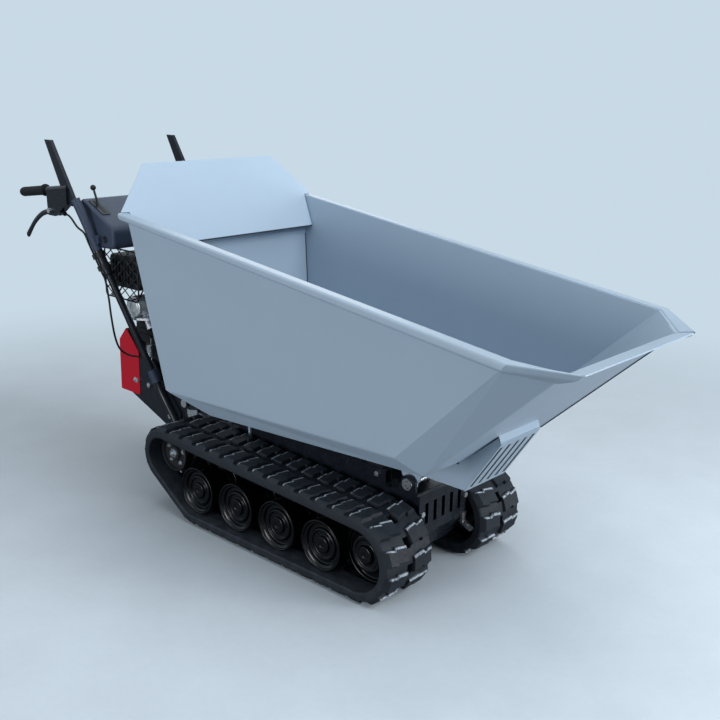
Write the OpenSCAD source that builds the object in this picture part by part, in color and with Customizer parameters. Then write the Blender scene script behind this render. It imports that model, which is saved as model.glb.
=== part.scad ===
// Tracked power carrier with a tipping tub, built in millimetres.
// X points forward, Y to the left, Z up. The ground is Z = 0.

/* [Tracks] */
// Width of one rubber track
track_w = 180; // [170:1:186]
// Half of the gap between the two tracks
track_in = 107; // [106:0.5:112]
// Thickness of the track carcass
track_t = 15; // [13:0.5:17]
// Height of a tread lug
lug_h = 18; // [14:1:20]
// Length of a tread lug along the track
lug_l = 44; // [36:1:46]
// Slant of the two halves of a lug
lug_step = 6; // [0:1:8]
// Number of links round one track
links = 35; // [33:1:36]
// Height of the steel cords above the inside of the track
cord_h = 10.5; // [8:0.5:13]
// Width of the groove that the sprocket teeth run in
groove_w = 50; // [44:1:54]
// Depth of the groove that the sprocket teeth run in
groove_d = 9; // [7:0.5:10]

/* [Wheels] */
// Radius of a road wheel
wheel_r = 70; // [66:1:72]
// Distance between road wheels
wheel_step = 168.3; // [160:0.1:172]
// X of the rear road wheel
wheel_x = -150; // [-156:1:-144]
// Radius of a front idler
idler_r = 84; // [80:1:86]
// X of the front idler
idler_x = 494; // [490:1:500]
// Pitch radius of a drive sprocket
sprocket_r = 57; // [54:0.5:60]
// X of the drive axle
sprocket_x = -288.5; // [-296:0.5:-284]
// Height of the drive axle
sprocket_z = 177.5; // [172:0.5:182]
// Radius of the road wheel axles
axle_r = 12.5; // [10:0.5:14]
// Gap between parts that move past each other
run_gap = 0.3; // [0.2:0.05:0.5]

/* [Frame] */
// Outer face of the frame side plates, from the middle
frame_y = 96; // [94:0.5:98]
// Thickness of the frame side plates
plate_t = 8; // [6:0.5:9]
// Thickness of the deck and belly plates
deck_t = 6; // [4:0.5:8]
// Half width of the front bumper
bumper_y = 101; // [98:0.5:104]
// Thickness of the bumper plate
bumper_t = 4; // [3:0.5:5]
// Distance between the slots of bumper and nose plate
slot_step = 35; // [30:1:38]
// Width of a bumper slot
bumper_slot = 13; // [8:1:16]
// Height of the saddle rails
rail_h = 44; // [40:1:46]
// Width of the saddle rails
rail_w = 26; // [20:1:28]

/* [Tub] */
// Sheet thickness of the tub
sheet = 4; // [3:0.5:5]
// Half width of the tub floor
floor_y = 250; // [240:1:256]
// Width of the folded rim
rim_w = 29; // [22:1:34]
// Length of the lip flange
lip_l = 42; // [34:1:48]
// X of the tipping axis
hinge_x = 507; // [503:1:511]
// Height of the tipping axis
hinge_z = 272; // [270:0.5:274]
// Radius of the hinge pin
hinge_r = 10; // [8:0.5:11]
// Outer face of the runner plates under the floor
runner_y = 85; // [82:0.5:86]
// Width of a slot in the nose plate
nose_slot = 7; // [5:0.5:10]

/* [Handles] */
// Radius of the lower handlebar tube
tube_r = 11; // [10:0.5:12]
// Radius of the upper handlebar tube
tube_top_r = 14; // [13:0.5:15]
// Half distance between the grips
grip_y = 238; // [234:1:242]
// Radius of a rubber grip
grip_r = 15.5; // [14.5:0.5:18]
// Radius of the control cables
cable_r = 3.2; // [2.5:0.1:3.5]
// Thickness of a steering lever
lever_t = 8; // [6:0.5:9]
// Half width of a steering lever
lever_w = 10; // [8:0.5:10.5]
// Half width of the console
console_y = 200; // [192:1:202]

/* [Engine] */
// X of the crankshaft
crank_x = -570; // [-576:1:-566]
// Height of the crankshaft
crank_z = 410; // [406:1:414]
// Radius of the engine pulley
pulley_r = 42; // [38:1:46]
// Radius of the driven pulley
driven_r = 58; // [52:1:60]
// Wire thickness of the belt spring
spring_wire = 3; // [2.5:0.25:3.5]
// Coil radius of the belt spring
spring_r = 8; // [7:0.25:8.5]
// Number of curls in the belt spring
spring_turns = 9; // [6:1:10]

/* [Hidden] */
$fn = 48;
centre_x = -10.35;
// Straight runs sit this far inside the circles that they touch
tuck = 0.02;

// Track loop: three circles and the straight runs that touch them
belt_mid = track_in + track_w / 2;
belt_all = track_t + lug_h;
wheel_z = belt_all + run_gap + wheel_r;
idler_z = belt_all + run_gap + idler_r;
cir_a = [sprocket_x, sprocket_z];
cir_b = [wheel_x, wheel_z];
cir_c = [idler_x, idler_z];
rad_a = sprocket_r + run_gap;
rad_b = wheel_r + run_gap;
rad_c = idler_r + run_gap;
function unit2(a) = [cos(a), sin(a)];
function touch(p, rp, q, rq) = atan2(q[1] - p[1], q[0] - p[0]) + acos((rp - rq) / norm(q - p));
ang_ac = touch(cir_a, rad_a, cir_c, rad_c);
ang_cb = touch(cir_c, rad_c, cir_b, rad_b) + 360;
ang_ba = touch(cir_b, rad_b, cir_a, rad_a);
function run_len(p, rp, q, rq) = sqrt(pow(norm(q - p), 2) - pow(rp - rq, 2));
len_ac = run_len(cir_a, rad_a, cir_c, rad_c);
len_cb = run_len(cir_c, rad_c, cir_b, rad_b);
len_ba = run_len(cir_b, rad_b, cir_a, rad_a);
// Arcs are counted at the cords, where the track keeps its length
arc_c = (rad_c + cord_h) * (ang_ac - ang_cb + 360) * PI / 180;
arc_b = (rad_b + cord_h) * (ang_cb - ang_ba) * PI / 180;
arc_a = (rad_a + cord_h) * (ang_ba - ang_ac) * PI / 180;
loop = len_ac + arc_c + len_cb + arc_b + len_ba + arc_a;
function on_run(p, r, a, s) = concat(p + unit2(a) * (r + track_t) + unit2(a - 90) * s, [a]);
function on_arc(p, r, a, s) = let (b = a - s / (r + cord_h) * 180 / PI) concat(p + unit2(b) * (r + track_t), [b]);
function loop_at(s) =
  s < len_ac ? on_run(cir_a, rad_a, ang_ac, s) :
  s < len_ac + arc_c ? on_arc(cir_c, rad_c, ang_ac, s - len_ac) :
  s < len_ac + arc_c + len_cb ? on_run(cir_c, rad_c, ang_cb, s - len_ac - arc_c) :
  s < len_ac + arc_c + len_cb + arc_b ? on_arc(cir_b, rad_b, ang_cb, s - len_ac - arc_c - len_cb) :
  s < loop - arc_a ? on_run(cir_b, rad_b, ang_ba, s - len_ac - arc_c - len_cb - arc_b) :
  on_arc(cir_a, rad_a, ang_ba, s - loop + arc_a);

// Frame outline and plate heights
frame_top = 246;
frame_low = 76;
bed_z = 306;
bumper_x = 548;
frame_side = [[bumper_x, frame_top], [bumper_x, 141], [505, 72.6], [500, frame_low], [-330, frame_low],
  [-420, 120], [-511, 179], [-697, 249], [-697, bed_z], [-330, bed_z], [-290, 270], [-250, frame_top]];
bumper_side = [[536, 250], [bumper_x + bumper_t, 250], [bumper_x + bumper_t, 139], [509, 70], [505, 72.6],
  [bumper_x, 141], [bumper_x, frame_top], [536, frame_top]];
pad_h = 11.7;
runner_z = frame_top + rail_h + pad_h + run_gap;

// Tub corners of one side: rear rim, rim bend, lip, side rear, side front, floor rear, floor front
tub_half = [[-325, 345, 905], [949, 328, 741], [1035, floor_y, 714], [-240, 294, 397], [625, 297, 432],
  [-98, floor_y, 345], [679, floor_y, 386]];
tub_in = [[-321, 341.5, 910], [947, 324, 751], [1042, floor_y - 5, 724], [-235.5, 290, 399.5], [624, 293, 434.5],
  [-97, floor_y - 1.5, 345 + sheet], [677, floor_y - 1.5, 386 + sheet]];
tub_faces = [[0, 1, 4, 3], [1, 6, 4], [1, 2, 6], [3, 4, 6], [3, 6, 5],
  [10, 11, 8, 7], [11, 13, 8], [13, 9, 8], [13, 11, 10], [12, 13, 10],
  [7, 0, 3, 10], [10, 3, 5, 12], [5, 6, 13, 12], [2, 9, 13, 6], [7, 8, 1, 0], [8, 9, 2, 1]];
function flip(v) = [v[0], -v[1], v[2]];
function two_sides(h) = concat([for (v = h) flip(v)], h);
nose_low = [676, runner_z];
nose_high = [776, 452];
runner_side = [[-90, runner_z], nose_low, nose_high, nose_high + [-5, 14], [679, 386], [-90, 345.4]];
board_low = [-274.5, 813];
board_high = [-381.5, 1030];

// Handlebar route, and the wall of the console
tube_y = frame_y + plate_t + tube_r - 1.5;
foot = [-434, -tube_y, 206];
knee = [-503, -tube_y, 288];
bar_top = [-745, -grip_y, 895];
bar_mid = knee + 0.62 * (bar_top - knee);
stem_a = [-779, -grip_y, 925];
stem_b = [-1045, -grip_y, 890.5];
lever_pivot = [-872, 848];
lever_line = [lever_pivot, [-905, 840], [-944, 828], [-990, 798], [-1036, 751]];
console_side = [[-782, 884], [-772, 891], [-616, 816], [-606, 804], [-606, 757], [-614, 748], [-690, 744],
  [-754, 800]];
stop_a = [-832, -grip_y, 846];
stop_b = [-806, -grip_y, 842];
tube_way = (bar_top - knee) / norm(bar_top - knee);
tube_side = side_of(tube_way, [-0.743, -0.668, 0]);
function on_tube(t) = knee + t * (bar_top - knee);
function beside(t) = on_tube(t) + (tube_top_r + cable_r + 0.8) * tube_side;
cable_route = [stop_b + [0.4, 0, -0.1], [-785, -240, 840], [-763, -243, 832], [-739, -240, 809], beside(0.84),
  beside(0.79), beside(0.74), beside(0.69), beside(0.64), beside(0.6), [-637, -206, 592], [-625, -208, 534], [-624, -198, 467], [-626, -180, 424],
  [-616, -156, 402], [-599, -132, 395], [-583, -115, 388], [-576, -106.8, 383]];

// Bent and drawn shapes
module both() {
  children();
  mirror([0, 1, 0]) children();
}
module slab(points, y0, y1) {
  translate([0, y1, 0]) rotate([90, 0, 0]) linear_extrude(y1 - y0) polygon(points);
}
module slab2(y0, y1) {
  translate([0, y1, 0]) rotate([90, 0, 0]) linear_extrude(y1 - y0) children();
}
module bar_y(x, z, r, y0, y1) {
  translate([x, y1, z]) rotate([90, 0, 0]) cylinder(r = r, h = y1 - y0);
}
module hex_y(x, z, r, y0, y1) {
  translate([x, y1, z]) rotate([90, 0, 0]) cylinder(r = r, h = y1 - y0, $fn = 6);
}
module rod(p, q, r) {
  d = q - p;
  translate(p) rotate([0, acos(d[2] / norm(d)), atan2(d[1], d[0])]) cylinder(r = r, h = norm(d));
}
module box(low, high) {
  translate(low) cube(high - low);
}
// A chain of discs and straight pieces of one width
module chain2(points, r) {
  for (p = points) translate(p) circle(r);
  for (i = [0 : len(points) - 2]) {
    d = points[i + 1] - points[i];
    g = r - 3 * tuck;
    translate(points[i]) rotate(atan2(d[1], d[0])) translate([0, -g]) square([norm(d), 2 * g]);
  }
}
// A rounded rectangle from discs and two squares
module round2(x0, z0, x1, z1, r) {
  for (x = [x0 + r, x1 - r]) for (z = [z0 + r, z1 - r]) translate([x, z]) circle(r);
  translate([x0 + r, z0]) square([x1 - x0 - 2 * r, z1 - z0]);
  translate([x0, z0 + r]) square([x1 - x0, z1 - z0 - 2 * r]);
}
// A skin through rings of equal length, closed at both ends
module skin(rings) {
  n = len(rings[0]);
  m = len(rings);
  sides = [for (i = [0 : m - 2]) for (j = [0 : n - 1]) for (k = [0, 1])
    k == 0 ? [i * n + j, (i + 1) * n + (j + 1) % n, i * n + (j + 1) % n]
           : [i * n + j, (i + 1) * n + j, (i + 1) * n + (j + 1) % n]];
  polyhedron([for (r = rings) for (p = r) p],
    concat(sides, [[for (j = [0 : n - 1]) j], [for (j = [n - 1 : -1 : 0]) (m - 1) * n + j]]));
}
// Rings of a round cord along points, with the first direction carried from ring to ring
function way(p, i) = let (d = p[min(i + 1, len(p) - 1)] - p[max(i - 1, 0)]) d / norm(d);
function side_of(t, u) = let (v = u - (u * t) * t) v / norm(v);
function sides_of(p, i, u) = i >= len(p) ? [] :
  let (v = side_of(way(p, i), u)) concat([v], sides_of(p, i + 1, v));
function cord_rings(p, r, n) =
  let (u = sides_of(p, 0, [0.13, 1, 0.37]))
  [for (i = [0 : len(p) - 1]) let (t = way(p, i), v = u[i], w = cross(t, v))
    [for (j = [0 : n - 1]) p[i] + r * (cos(360 * j / n) * v + sin(360 * j / n) * w)]];
function bend(a, b, c, d, t) = 0.5 * (2 * b + (c - a) * t + (2 * a - 5 * b + 4 * c - d) * t * t
  + (3 * b - a - 3 * c + d) * t * t * t);
function curve(p, n) = concat([for (i = [0 : len(p) - 2]) for (k = [0 : n - 1])
  bend(p[max(i - 1, 0)], p[i], p[i + 1], p[min(i + 2, len(p) - 1)], k / n)], [p[len(p) - 1]]);

// Undercarriage
module loop2(h) {
  translate(cir_a) circle(rad_a + h, $fn = 96);
  translate(cir_b) circle(rad_b + h, $fn = 96);
  translate(cir_c) circle(rad_c + h, $fn = 96);
  g = h - tuck;
  polygon([cir_a + unit2(ang_ac) * (rad_a + g), cir_c + unit2(ang_ac) * (rad_c + g),
    cir_c + unit2(ang_cb) * (rad_c + g), cir_b + unit2(ang_cb) * (rad_b + g),
    cir_b + unit2(ang_ba) * (rad_b + g), cir_a + unit2(ang_ba) * (rad_a + g)]);
}
module lug(side) {
  a = lug_l / 2;
  y0 = side * 15;
  ym = side * (track_w / 4 + 3);
  yn = side * (track_w / 4 + 6);
  y1 = side * (track_w / 2 - 1);
  s = lug_step;
  linear_extrude(lug_h + 4)
    polygon([[s - a, y0], [s + a, y0], [a, ym], [s + a, yn], [a, y1], [-a, y1], [s - a, yn], [-a, ym]]);
}
module belt() {
  difference() {
    slab2(-track_w / 2, track_w / 2) loop2(track_t);
    slab2(-track_w / 2 - 1, track_w / 2 + 1) loop2(0);
    slab2(-groove_w / 2, groove_w / 2) loop2(groove_d);
  }
  for (i = [0 : links - 1]) for (k = [0, 1]) {
    at = loop_at((i + (k == 0 ? 0.94 : 0.44)) * loop / links);
    rolling = at[1] < lug_h + 40 && abs(cos(at[2])) > 0.0001;
    difference() {
      translate([at[0], 0, at[1]]) rotate([0, 90 - at[2], 0]) translate([0, 0, -4]) lug(k * 2 - 1);
      if (rolling) box([at[0] - 60, -track_w, -40], [at[0] + 60, track_w, 0]);
    }
  }
}
module track_right() color([0.13, 0.14, 0.15]) translate([0, -belt_mid, 0]) belt();
module track_left() color([0.13, 0.14, 0.15]) mirror([0, 1, 0]) track_right();

// Turned wheel: points are radius and distance outwards from the middle of the machine
module turned(points, x, z) {
  translate([x, 0, z]) rotate([90, 0, 0]) rotate_extrude($fn = 64) polygon(points);
}
bore_r = axle_r + run_gap;
edge_in = track_in;
edge_out = track_in + track_w;
axle_end = edge_out - 40;
wheel_points = [[bore_r, edge_in + 19], [26, edge_in + 19], [28, edge_in + 27], [wheel_r - 10, edge_in + 29],
  [wheel_r - 6, edge_in + 25], [wheel_r, edge_in + 25], [wheel_r, belt_mid - 29], [wheel_r - 26, belt_mid - 25],
  [wheel_r - 26, belt_mid + 25], [wheel_r, belt_mid + 29], [wheel_r, edge_out - 23], [wheel_r - 4, edge_out - 23],
  [wheel_r - 7, edge_out - 29], [wheel_r - 12, edge_out - 31], [wheel_r - 15, edge_out - 39],
  [wheel_r - 24, edge_out - 40], [wheel_r - 27, edge_out - 32], [wheel_r - 32, edge_out - 31],
  [wheel_r - 34, edge_out - 37], [24, edge_out - 37], [22, edge_out - 28], [0, edge_out - 28], [0, axle_end + 1],
  [bore_r, axle_end + 1]];
module road_wheel(i) color([0.12, 0.12, 0.13]) turned(wheel_points, wheel_x + i * wheel_step, wheel_z);
module wheel_right_1() road_wheel(0);
module wheel_right_2() road_wheel(1);
module wheel_right_3() road_wheel(2);
module wheel_right_4() road_wheel(3);
module wheel_left_1() mirror([0, 1, 0]) road_wheel(0);
module wheel_left_2() mirror([0, 1, 0]) road_wheel(1);
module wheel_left_3() mirror([0, 1, 0]) road_wheel(2);
module wheel_left_4() mirror([0, 1, 0]) road_wheel(3);
idler_end = belt_mid + 35;
drum_r = idler_r + groove_d;
idler_points = [[bore_r, belt_mid - 67], [26, belt_mid - 67], [28, belt_mid - 53], [idler_r - 28, belt_mid - 51],
  [idler_r - 24, belt_mid - 47], [idler_r - 24, belt_mid - 26], [drum_r - 4, belt_mid - 21], [drum_r, belt_mid - 17],
  [drum_r, belt_mid + 17], [drum_r - 4, belt_mid + 21], [idler_r - 24, belt_mid + 26], [idler_r - 24, belt_mid + 41],
  [idler_r - 27, belt_mid + 45], [idler_r - 34, belt_mid + 43], [idler_r - 37, belt_mid + 37],
  [idler_r - 50, belt_mid + 36], [31, belt_mid + 43], [24, belt_mid + 44], [22, belt_mid + 49], [0, belt_mid + 49],
  [0, idler_end + 1], [bore_r, idler_end + 1]];
module idler_right() color([0.12, 0.12, 0.13]) turned(idler_points, idler_x, idler_z);
module idler_left() color([0.12, 0.12, 0.13]) mirror([0, 1, 0]) turned(idler_points, idler_x, idler_z);
shaft_r = 16;
sprocket_points = [[0, 40], [shaft_r, 40], [shaft_r, belt_mid - 71], [30, belt_mid - 71], [32, belt_mid - 55],
  [sprocket_r, belt_mid - 53],
  [sprocket_r, belt_mid - 27], [44, belt_mid - 26], [44, belt_mid - 8], [sprocket_r, belt_mid - 8],
  [sprocket_r, belt_mid + 8], [44, belt_mid + 8], [44, belt_mid + 26], [sprocket_r, belt_mid + 27],
  [sprocket_r, belt_mid + 41], [sprocket_r - 7, belt_mid + 43], [sprocket_r - 9, belt_mid + 33],
  [24, belt_mid + 31], [22, belt_mid + 41], [0, belt_mid + 41]];
module sprocket_right() color([0.2, 0.2, 0.21]) {
  turned(sprocket_points, sprocket_x, sprocket_z);
  for (a = [30 : 60 : 330]) translate([sprocket_x, 0, sprocket_z]) rotate([0, a, 0])
    slab([[-9, 50], [9, 50], [5, sprocket_r + groove_d - 2], [-5, sprocket_r + groove_d - 2]],
      -belt_mid - 8, -belt_mid + 8);
}
module sprocket_left() color([0.2, 0.2, 0.21]) mirror([0, 1, 0]) sprocket_right();

module frame_outline() {
  polygon(frame_side);
  translate([hinge_x, hinge_z]) circle(24);
  polygon([[hinge_x - 34, frame_top - 1], [hinge_x - 24, hinge_z], [hinge_x + 24, hinge_z], [hinge_x + 27, frame_top - 1]]);
}
module main_frame() color([0.05, 0.05, 0.06]) {
  both() difference() {
    slab2(-frame_y, -frame_y + plate_t) frame_outline();
    for (i = [0 : 3]) bar_y(wheel_x + i * wheel_step, wheel_z, axle_r, -frame_y - 1, 0);
    bar_y(idler_x, idler_z, axle_r, -frame_y - 1, 0);
    bar_y(sprocket_x, sprocket_z, 24, -frame_y - 1, 0);
    bar_y(hinge_x, hinge_z, hinge_r, -frame_y - 1, 0);
  }
  w = frame_y - plate_t;
  box([-240, -w, frame_top - deck_t], [536, w, frame_top]);
  box([-330, -w, frame_low], [500, w, frame_low + deck_t]);
  box([-697, -w, bed_z - deck_t], [-450, w, bed_z]);
  box([-226, -w, frame_low], [-220, w, frame_top]);
}
module front_bumper() color([0.06, 0.06, 0.07]) difference() {
  slab(bumper_side, -bumper_y, bumper_y);
  for (i = [-2 : 2]) box([bumper_x - 5, i * slot_step - bumper_slot / 2, 166],
    [bumper_x + 10, i * slot_step + bumper_slot / 2, 224]);
}
module tow_tabs() color([0.75, 0.76, 0.76]) both() difference() {
  slab([[bumper_x + bumper_t, 150], [bumper_x + bumper_t + 5, 150], [bumper_x + 9, 122], [584, 108], [582, 102],
    [bumper_x - 1, 120], [bumper_x + bumper_t, 139]], -100, -82);
  translate([572, -91, 90]) cylinder(r = 5, h = 60);
}
module wheel_axles() color([0.3, 0.3, 0.31]) both() for (i = [0 : 3])
  bar_y(wheel_x + i * wheel_step, wheel_z, axle_r, -axle_end, -frame_y + plate_t);
module idler_tensioners() color([0.6, 0.61, 0.62]) both() {
  bar_y(idler_x, idler_z, axle_r, -idler_end, -frame_y + plate_t);
  box([idler_x - 32, -frame_y - 9, idler_z - 20], [idler_x + 18, -frame_y, idler_z + 20]);
  rod([idler_x - 110, -frame_y - 4.5, idler_z], [idler_x - 30, -frame_y - 4.5, idler_z], 4);
  box([idler_x - 112, -frame_y - 9, idler_z - 14], [idler_x - 104, -frame_y, idler_z + 14]);
}
module saddle_rails() color([0.06, 0.06, 0.07]) both() difference() {
  box([-230, -frame_y, frame_top], [430, -frame_y + rail_w, frame_top + rail_h]);
  box([-231, -frame_y + 4, frame_top + 4], [431, -frame_y + rail_w - 4, frame_top + rail_h - 4]);
}
module saddle_pads() color([0.08, 0.08, 0.08]) both() for (x = [-60, 360])
  slab2(-frame_y + 2, -frame_y + rail_w - 2)
    round2(x, frame_top + rail_h, x + 60, frame_top + rail_h + pad_h, 4);
module hinge_pin() color([0.78, 0.79, 0.8]) {
  bar_y(hinge_x, hinge_z, hinge_r, -frame_y, frame_y);
  both() bar_y(hinge_x, hinge_z, 16, -frame_y - 6, -frame_y);
}
module gearbox() color([0.07, 0.07, 0.08]) difference() {
  union() {
    slab2(-62, 62) round2(-385, 92, -252, 298, 24);
    slab2(-50, 50) round2(-440, 200, -334, 452, 22);
    both() bar_y(sprocket_x, sprocket_z, 52, -74, -60);
    both() bar_y(sprocket_x, sprocket_z, 34, -frame_y + plate_t, -70);
    bar_y(-386, 395, 34, -66, -48);
    for (z = [130, 225, 262]) slab2(-66, 66) round2(-388, z, -249, z + 8, 3);
  }
  both() bar_y(sprocket_x, sprocket_z, shaft_r + run_gap, -frame_y, -38);
  bar_y(-386, 395, 12 + run_gap, -70, -30);
}
module bolt_y(x, z, y, r) {
  hex_y(x, z, r, y - r * 0.8, y);
  bar_y(x, z, r * 0.5, y - r * 0.8 - 2, y - r * 0.8);
}
module zinc_bolts() color([0.78, 0.79, 0.8]) {
  both() {
    bolt_y(-579, 298, -frame_y - plate_t, 9);
    bolt_y(-472, 218, -frame_y - plate_t, 9);
    bolt_y(403, 272, -frame_y, 8);
    bolt_y(-640, 300, -frame_y - plate_t - 2, 7);
    bar_y(lever_pivot[0], lever_pivot[1], 5, -grip_y - 15, -grip_y + 15);
    hex_y(lever_pivot[0], lever_pivot[1], 9, -grip_y - cheek - 8, -grip_y - cheek);
    hex_y(lever_pivot[0], lever_pivot[1], 9, -grip_y + cheek, -grip_y + cheek + 7);
    translate([bumper_x + bumper_t, -92, 200]) rotate([0, 90, 0]) cylinder(r = 8, h = 7, $fn = 6);
  }
}
// The slide bolt that holds the tub down, on the right-hand side only
latch_y = -frame_y - 1;
module latch_bolt() color([0.76, 0.77, 0.78]) {
  slab([[-392, 248], [-150, 248], [-150, 260], [-392, 260]], latch_y - 4, latch_y - run_gap);
  slab([[-382, 260], [-346, 268], [-338, 268], [-342, 233], [-376, 225], [-388, 248]], latch_y - 8, latch_y - 4);
}
module latch_guide() color([0.8, 0.81, 0.82]) {
  for (x = [-290, -196]) difference() {
    slab([[x, 242], [x + 12, 242], [x + 12, 266], [x, 266]], latch_y - 7, -frame_y);
    slab([[x - 1, 248 - run_gap], [x + 13, 248 - run_gap], [x + 13, 260 + run_gap], [x - 1, 260 + run_gap]],
      latch_y - 4 - run_gap, latch_y);
  }
  bar_y(-404, 276, 6, -frame_y - 5, -frame_y);
  bar_y(-404, 276, 13, -frame_y - 10, -frame_y - 5);
}

// Tub
module tub_shell() color([0.66, 0.69, 0.71]) difference() {
  polyhedron(two_sides(tub_half), tub_faces);
  polyhedron(two_sides(tub_in), tub_faces);
}
function rim_ring(p, out, down) = [flip(p), flip(p + out), flip(p + down)];
rim_rings = [
  rim_ring(tub_half[0], [0, rim_w, 0], [4.5, -2.8, -28]),
  rim_ring(tub_half[1], [8, rim_w, 0], [-25, 3, -32]),
  rim_ring(tub_half[2], [lip_l, 6, 8], [-26, 2.8, -28])];
module tub_rim() color([0.7, 0.73, 0.75]) {
  both() skin(rim_rings);
  slab([[1035, 714], [1035 + lip_l, 722], [1035 + lip_l, 718], [1031, 710]], -floor_y - 4, floor_y + 4);
}
module headboard() color([0.68, 0.71, 0.74]) {
  d = board_high - board_low;
  wing = norm(d) * (907 - board_low[1]) / d[1];
  translate([board_low[0], 0, board_low[1]]) rotate([0, -90 + atan2(d[1], -d[0]), 0]) rotate([90, 0, 0])
    rotate([0, 90, 0]) linear_extrude(sheet)
    polygon([[-330, 0], [330, 0], [339, wing - 3], [339, wing], [367, wing + 1], [244, norm(d)], [-244, norm(d)],
      [-367, wing + 1], [-339, wing], [-339, wing - 3]]);
}
module tub_runners() color([0.62, 0.65, 0.67]) {
  both() difference() {
    slab2(-runner_y, -runner_y + deck_t) {
      polygon(runner_side);
      translate([hinge_x, hinge_z]) circle(20);
      polygon([[hinge_x - 36, runner_z + 1], [hinge_x - 20, hinge_z], [hinge_x + 20, hinge_z], [hinge_x + 36, runner_z + 1]]);
    }
    bar_y(hinge_x, hinge_z, hinge_r + run_gap, -runner_y - 1, 0);
    bar_y(652, 371, 6, -runner_y - 1, 0);
  }
  w = runner_y - deck_t;
  box([548, -w, runner_z], [672, w, runner_z + 4]);
  for (x = [0, 300]) box([x, -w, runner_z + 6], [x + 6, w, 346]);
}
// The hook under the tub that the slide bolt passes over
module latch_catch() color([0.62, 0.65, 0.67]) {
  slab([[-140, 232], [-92, 232], [-92, runner_z + 8], [-100, runner_z + 8], [-100, 243], [-140, 243]], -105, -98);
  box([-100, -105, runner_z], [-70, -runner_y, runner_z + 8]);
}
module nose_plate() color([0.66, 0.69, 0.71]) {
  d = nose_high - nose_low;
  a = atan2(d[1], d[0]);
  translate([nose_low[0], 0, nose_low[1]]) rotate([0, -a, 0]) difference() {
    box([0, -runner_y, -4], [norm(d), runner_y, 0]);
    for (i = [-2 : 2]) box([10, i * slot_step - nose_slot / 2, -6], [norm(d) - 16, i * slot_step + nose_slot / 2, 2]);
  }
}

// Handles, with the right-hand side drawn and the left one mirrored
module handle_tube() color([0.05, 0.05, 0.06]) {
  rod(foot, knee, tube_r);
  translate(knee) sphere(tube_r + 0.6);
  rod(knee, bar_mid + 5 * tube_way, tube_r);
  rod(on_tube(0.06), on_tube(0.125), tube_r + 4);
  rod(bar_mid, bar_top, tube_top_r);
  slab([[-424, 190], [-500, 186], [-690, 258], [-690, 300], [-640, 385], [-560, 385], [-424, 236]],
    -frame_y - plate_t, -frame_y);
}
module handle_tube_right() handle_tube();
module handle_tube_left() mirror([0, 1, 0]) handle_tube();
// Half width of the lever bracket
cheek = 12.5;
module bracket2() {
  polygon([[-776, 926], [-890, 910], [-888, 862], [-884, 832], [-846, 832], [-818, 848], [-776, 878]]);
}
module post() color([0.05, 0.05, 0.06]) difference() {
  union() {
    slab([[-893, 1068], [-861, 1068], [-731, 872], [-784, 872]], -grip_y - 6, -grip_y + 6);
    rod(stem_a, stem_b, tube_r);
    slab2(-grip_y - cheek, -grip_y + cheek) bracket2();
    rod(stop_a, stop_b, 7);
  }
  box([-1000, -grip_y - lever_t / 2 - run_gap, 800], [-830, -grip_y + lever_t / 2 + run_gap, 884]);
  rod(bar_mid, bar_top + tube_way, tube_top_r);
  bar_y(lever_pivot[0], lever_pivot[1], 5, -grip_y - 20, -grip_y + 20);
}
module post_right() post();
module post_left() mirror([0, 1, 0]) post();
stem_len = norm(stem_b - stem_a);
grip_len = 146;
grip_seat = grip_len - 10;
rib_step = (grip_len - 18) / 8;
grip_points = concat([[tube_r + 0.02, 0], [grip_r + 4, 0], [grip_r + 4, 5], [grip_r - 1, 8]],
  [for (i = [0 : 7]) for (k = [0 : 3]) [grip_r - (k == 1 || k == 2 ? 0 : 1.2), 10 + (i + k / 4) * rib_step]],
  [[grip_r - 1, grip_len - 8], [grip_r - 1, grip_len - 4], [grip_r - 5, grip_len], [0, grip_len],
   [0, grip_seat + 0.02], [tube_r + 0.02, grip_seat + 0.02]]);
module grip() color([0.06, 0.06, 0.07]) {
  d = stem_b - stem_a;
  translate(stem_b) rotate([0, acos(d[2] / norm(d)), atan2(d[1], d[0])]) translate([0, 0, -grip_seat])
    rotate_extrude(convexity = 6) polygon(grip_points);
}
module grip_right() grip();
module grip_left() mirror([0, 1, 0]) grip();
module lever() color([0.06, 0.06, 0.07]) difference() {
  slab2(-grip_y - lever_t / 2, -grip_y + lever_t / 2) {
    chain2(lever_line, lever_w);
    chain2([lever_pivot, [-852, 838]], 5);
    translate(lever_pivot) circle(11);
  }
  bar_y(lever_pivot[0], lever_pivot[1], 5 + run_gap, -grip_y - 20, -grip_y + 20);
}
module lever_right() lever();
module lever_left() mirror([0, 1, 0]) lever();
module cable() color([0.05, 0.05, 0.05]) skin(cord_rings(curve(cable_route, 4), cable_r, 8));
module cable_right() cable();
module cable_left() mirror([0, 1, 0]) cable();
module cable_clamps() color([0.07, 0.07, 0.08]) both() for (t = [0.66, 0.72]) difference() {
  union() {
    rod(on_tube(t) - 9 * tube_way, on_tube(t) + 9 * tube_way, tube_top_r + 3);
    rod(beside(t) - 8 * tube_way, beside(t) + 8 * tube_way, cable_r + 4);
  }
  rod(on_tube(t) - 12 * tube_way, on_tube(t) + 12 * tube_way, tube_top_r);
  rod(beside(t) - 12 * tube_way, beside(t) + 12 * tube_way, cable_r + 1.2);
}
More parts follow.
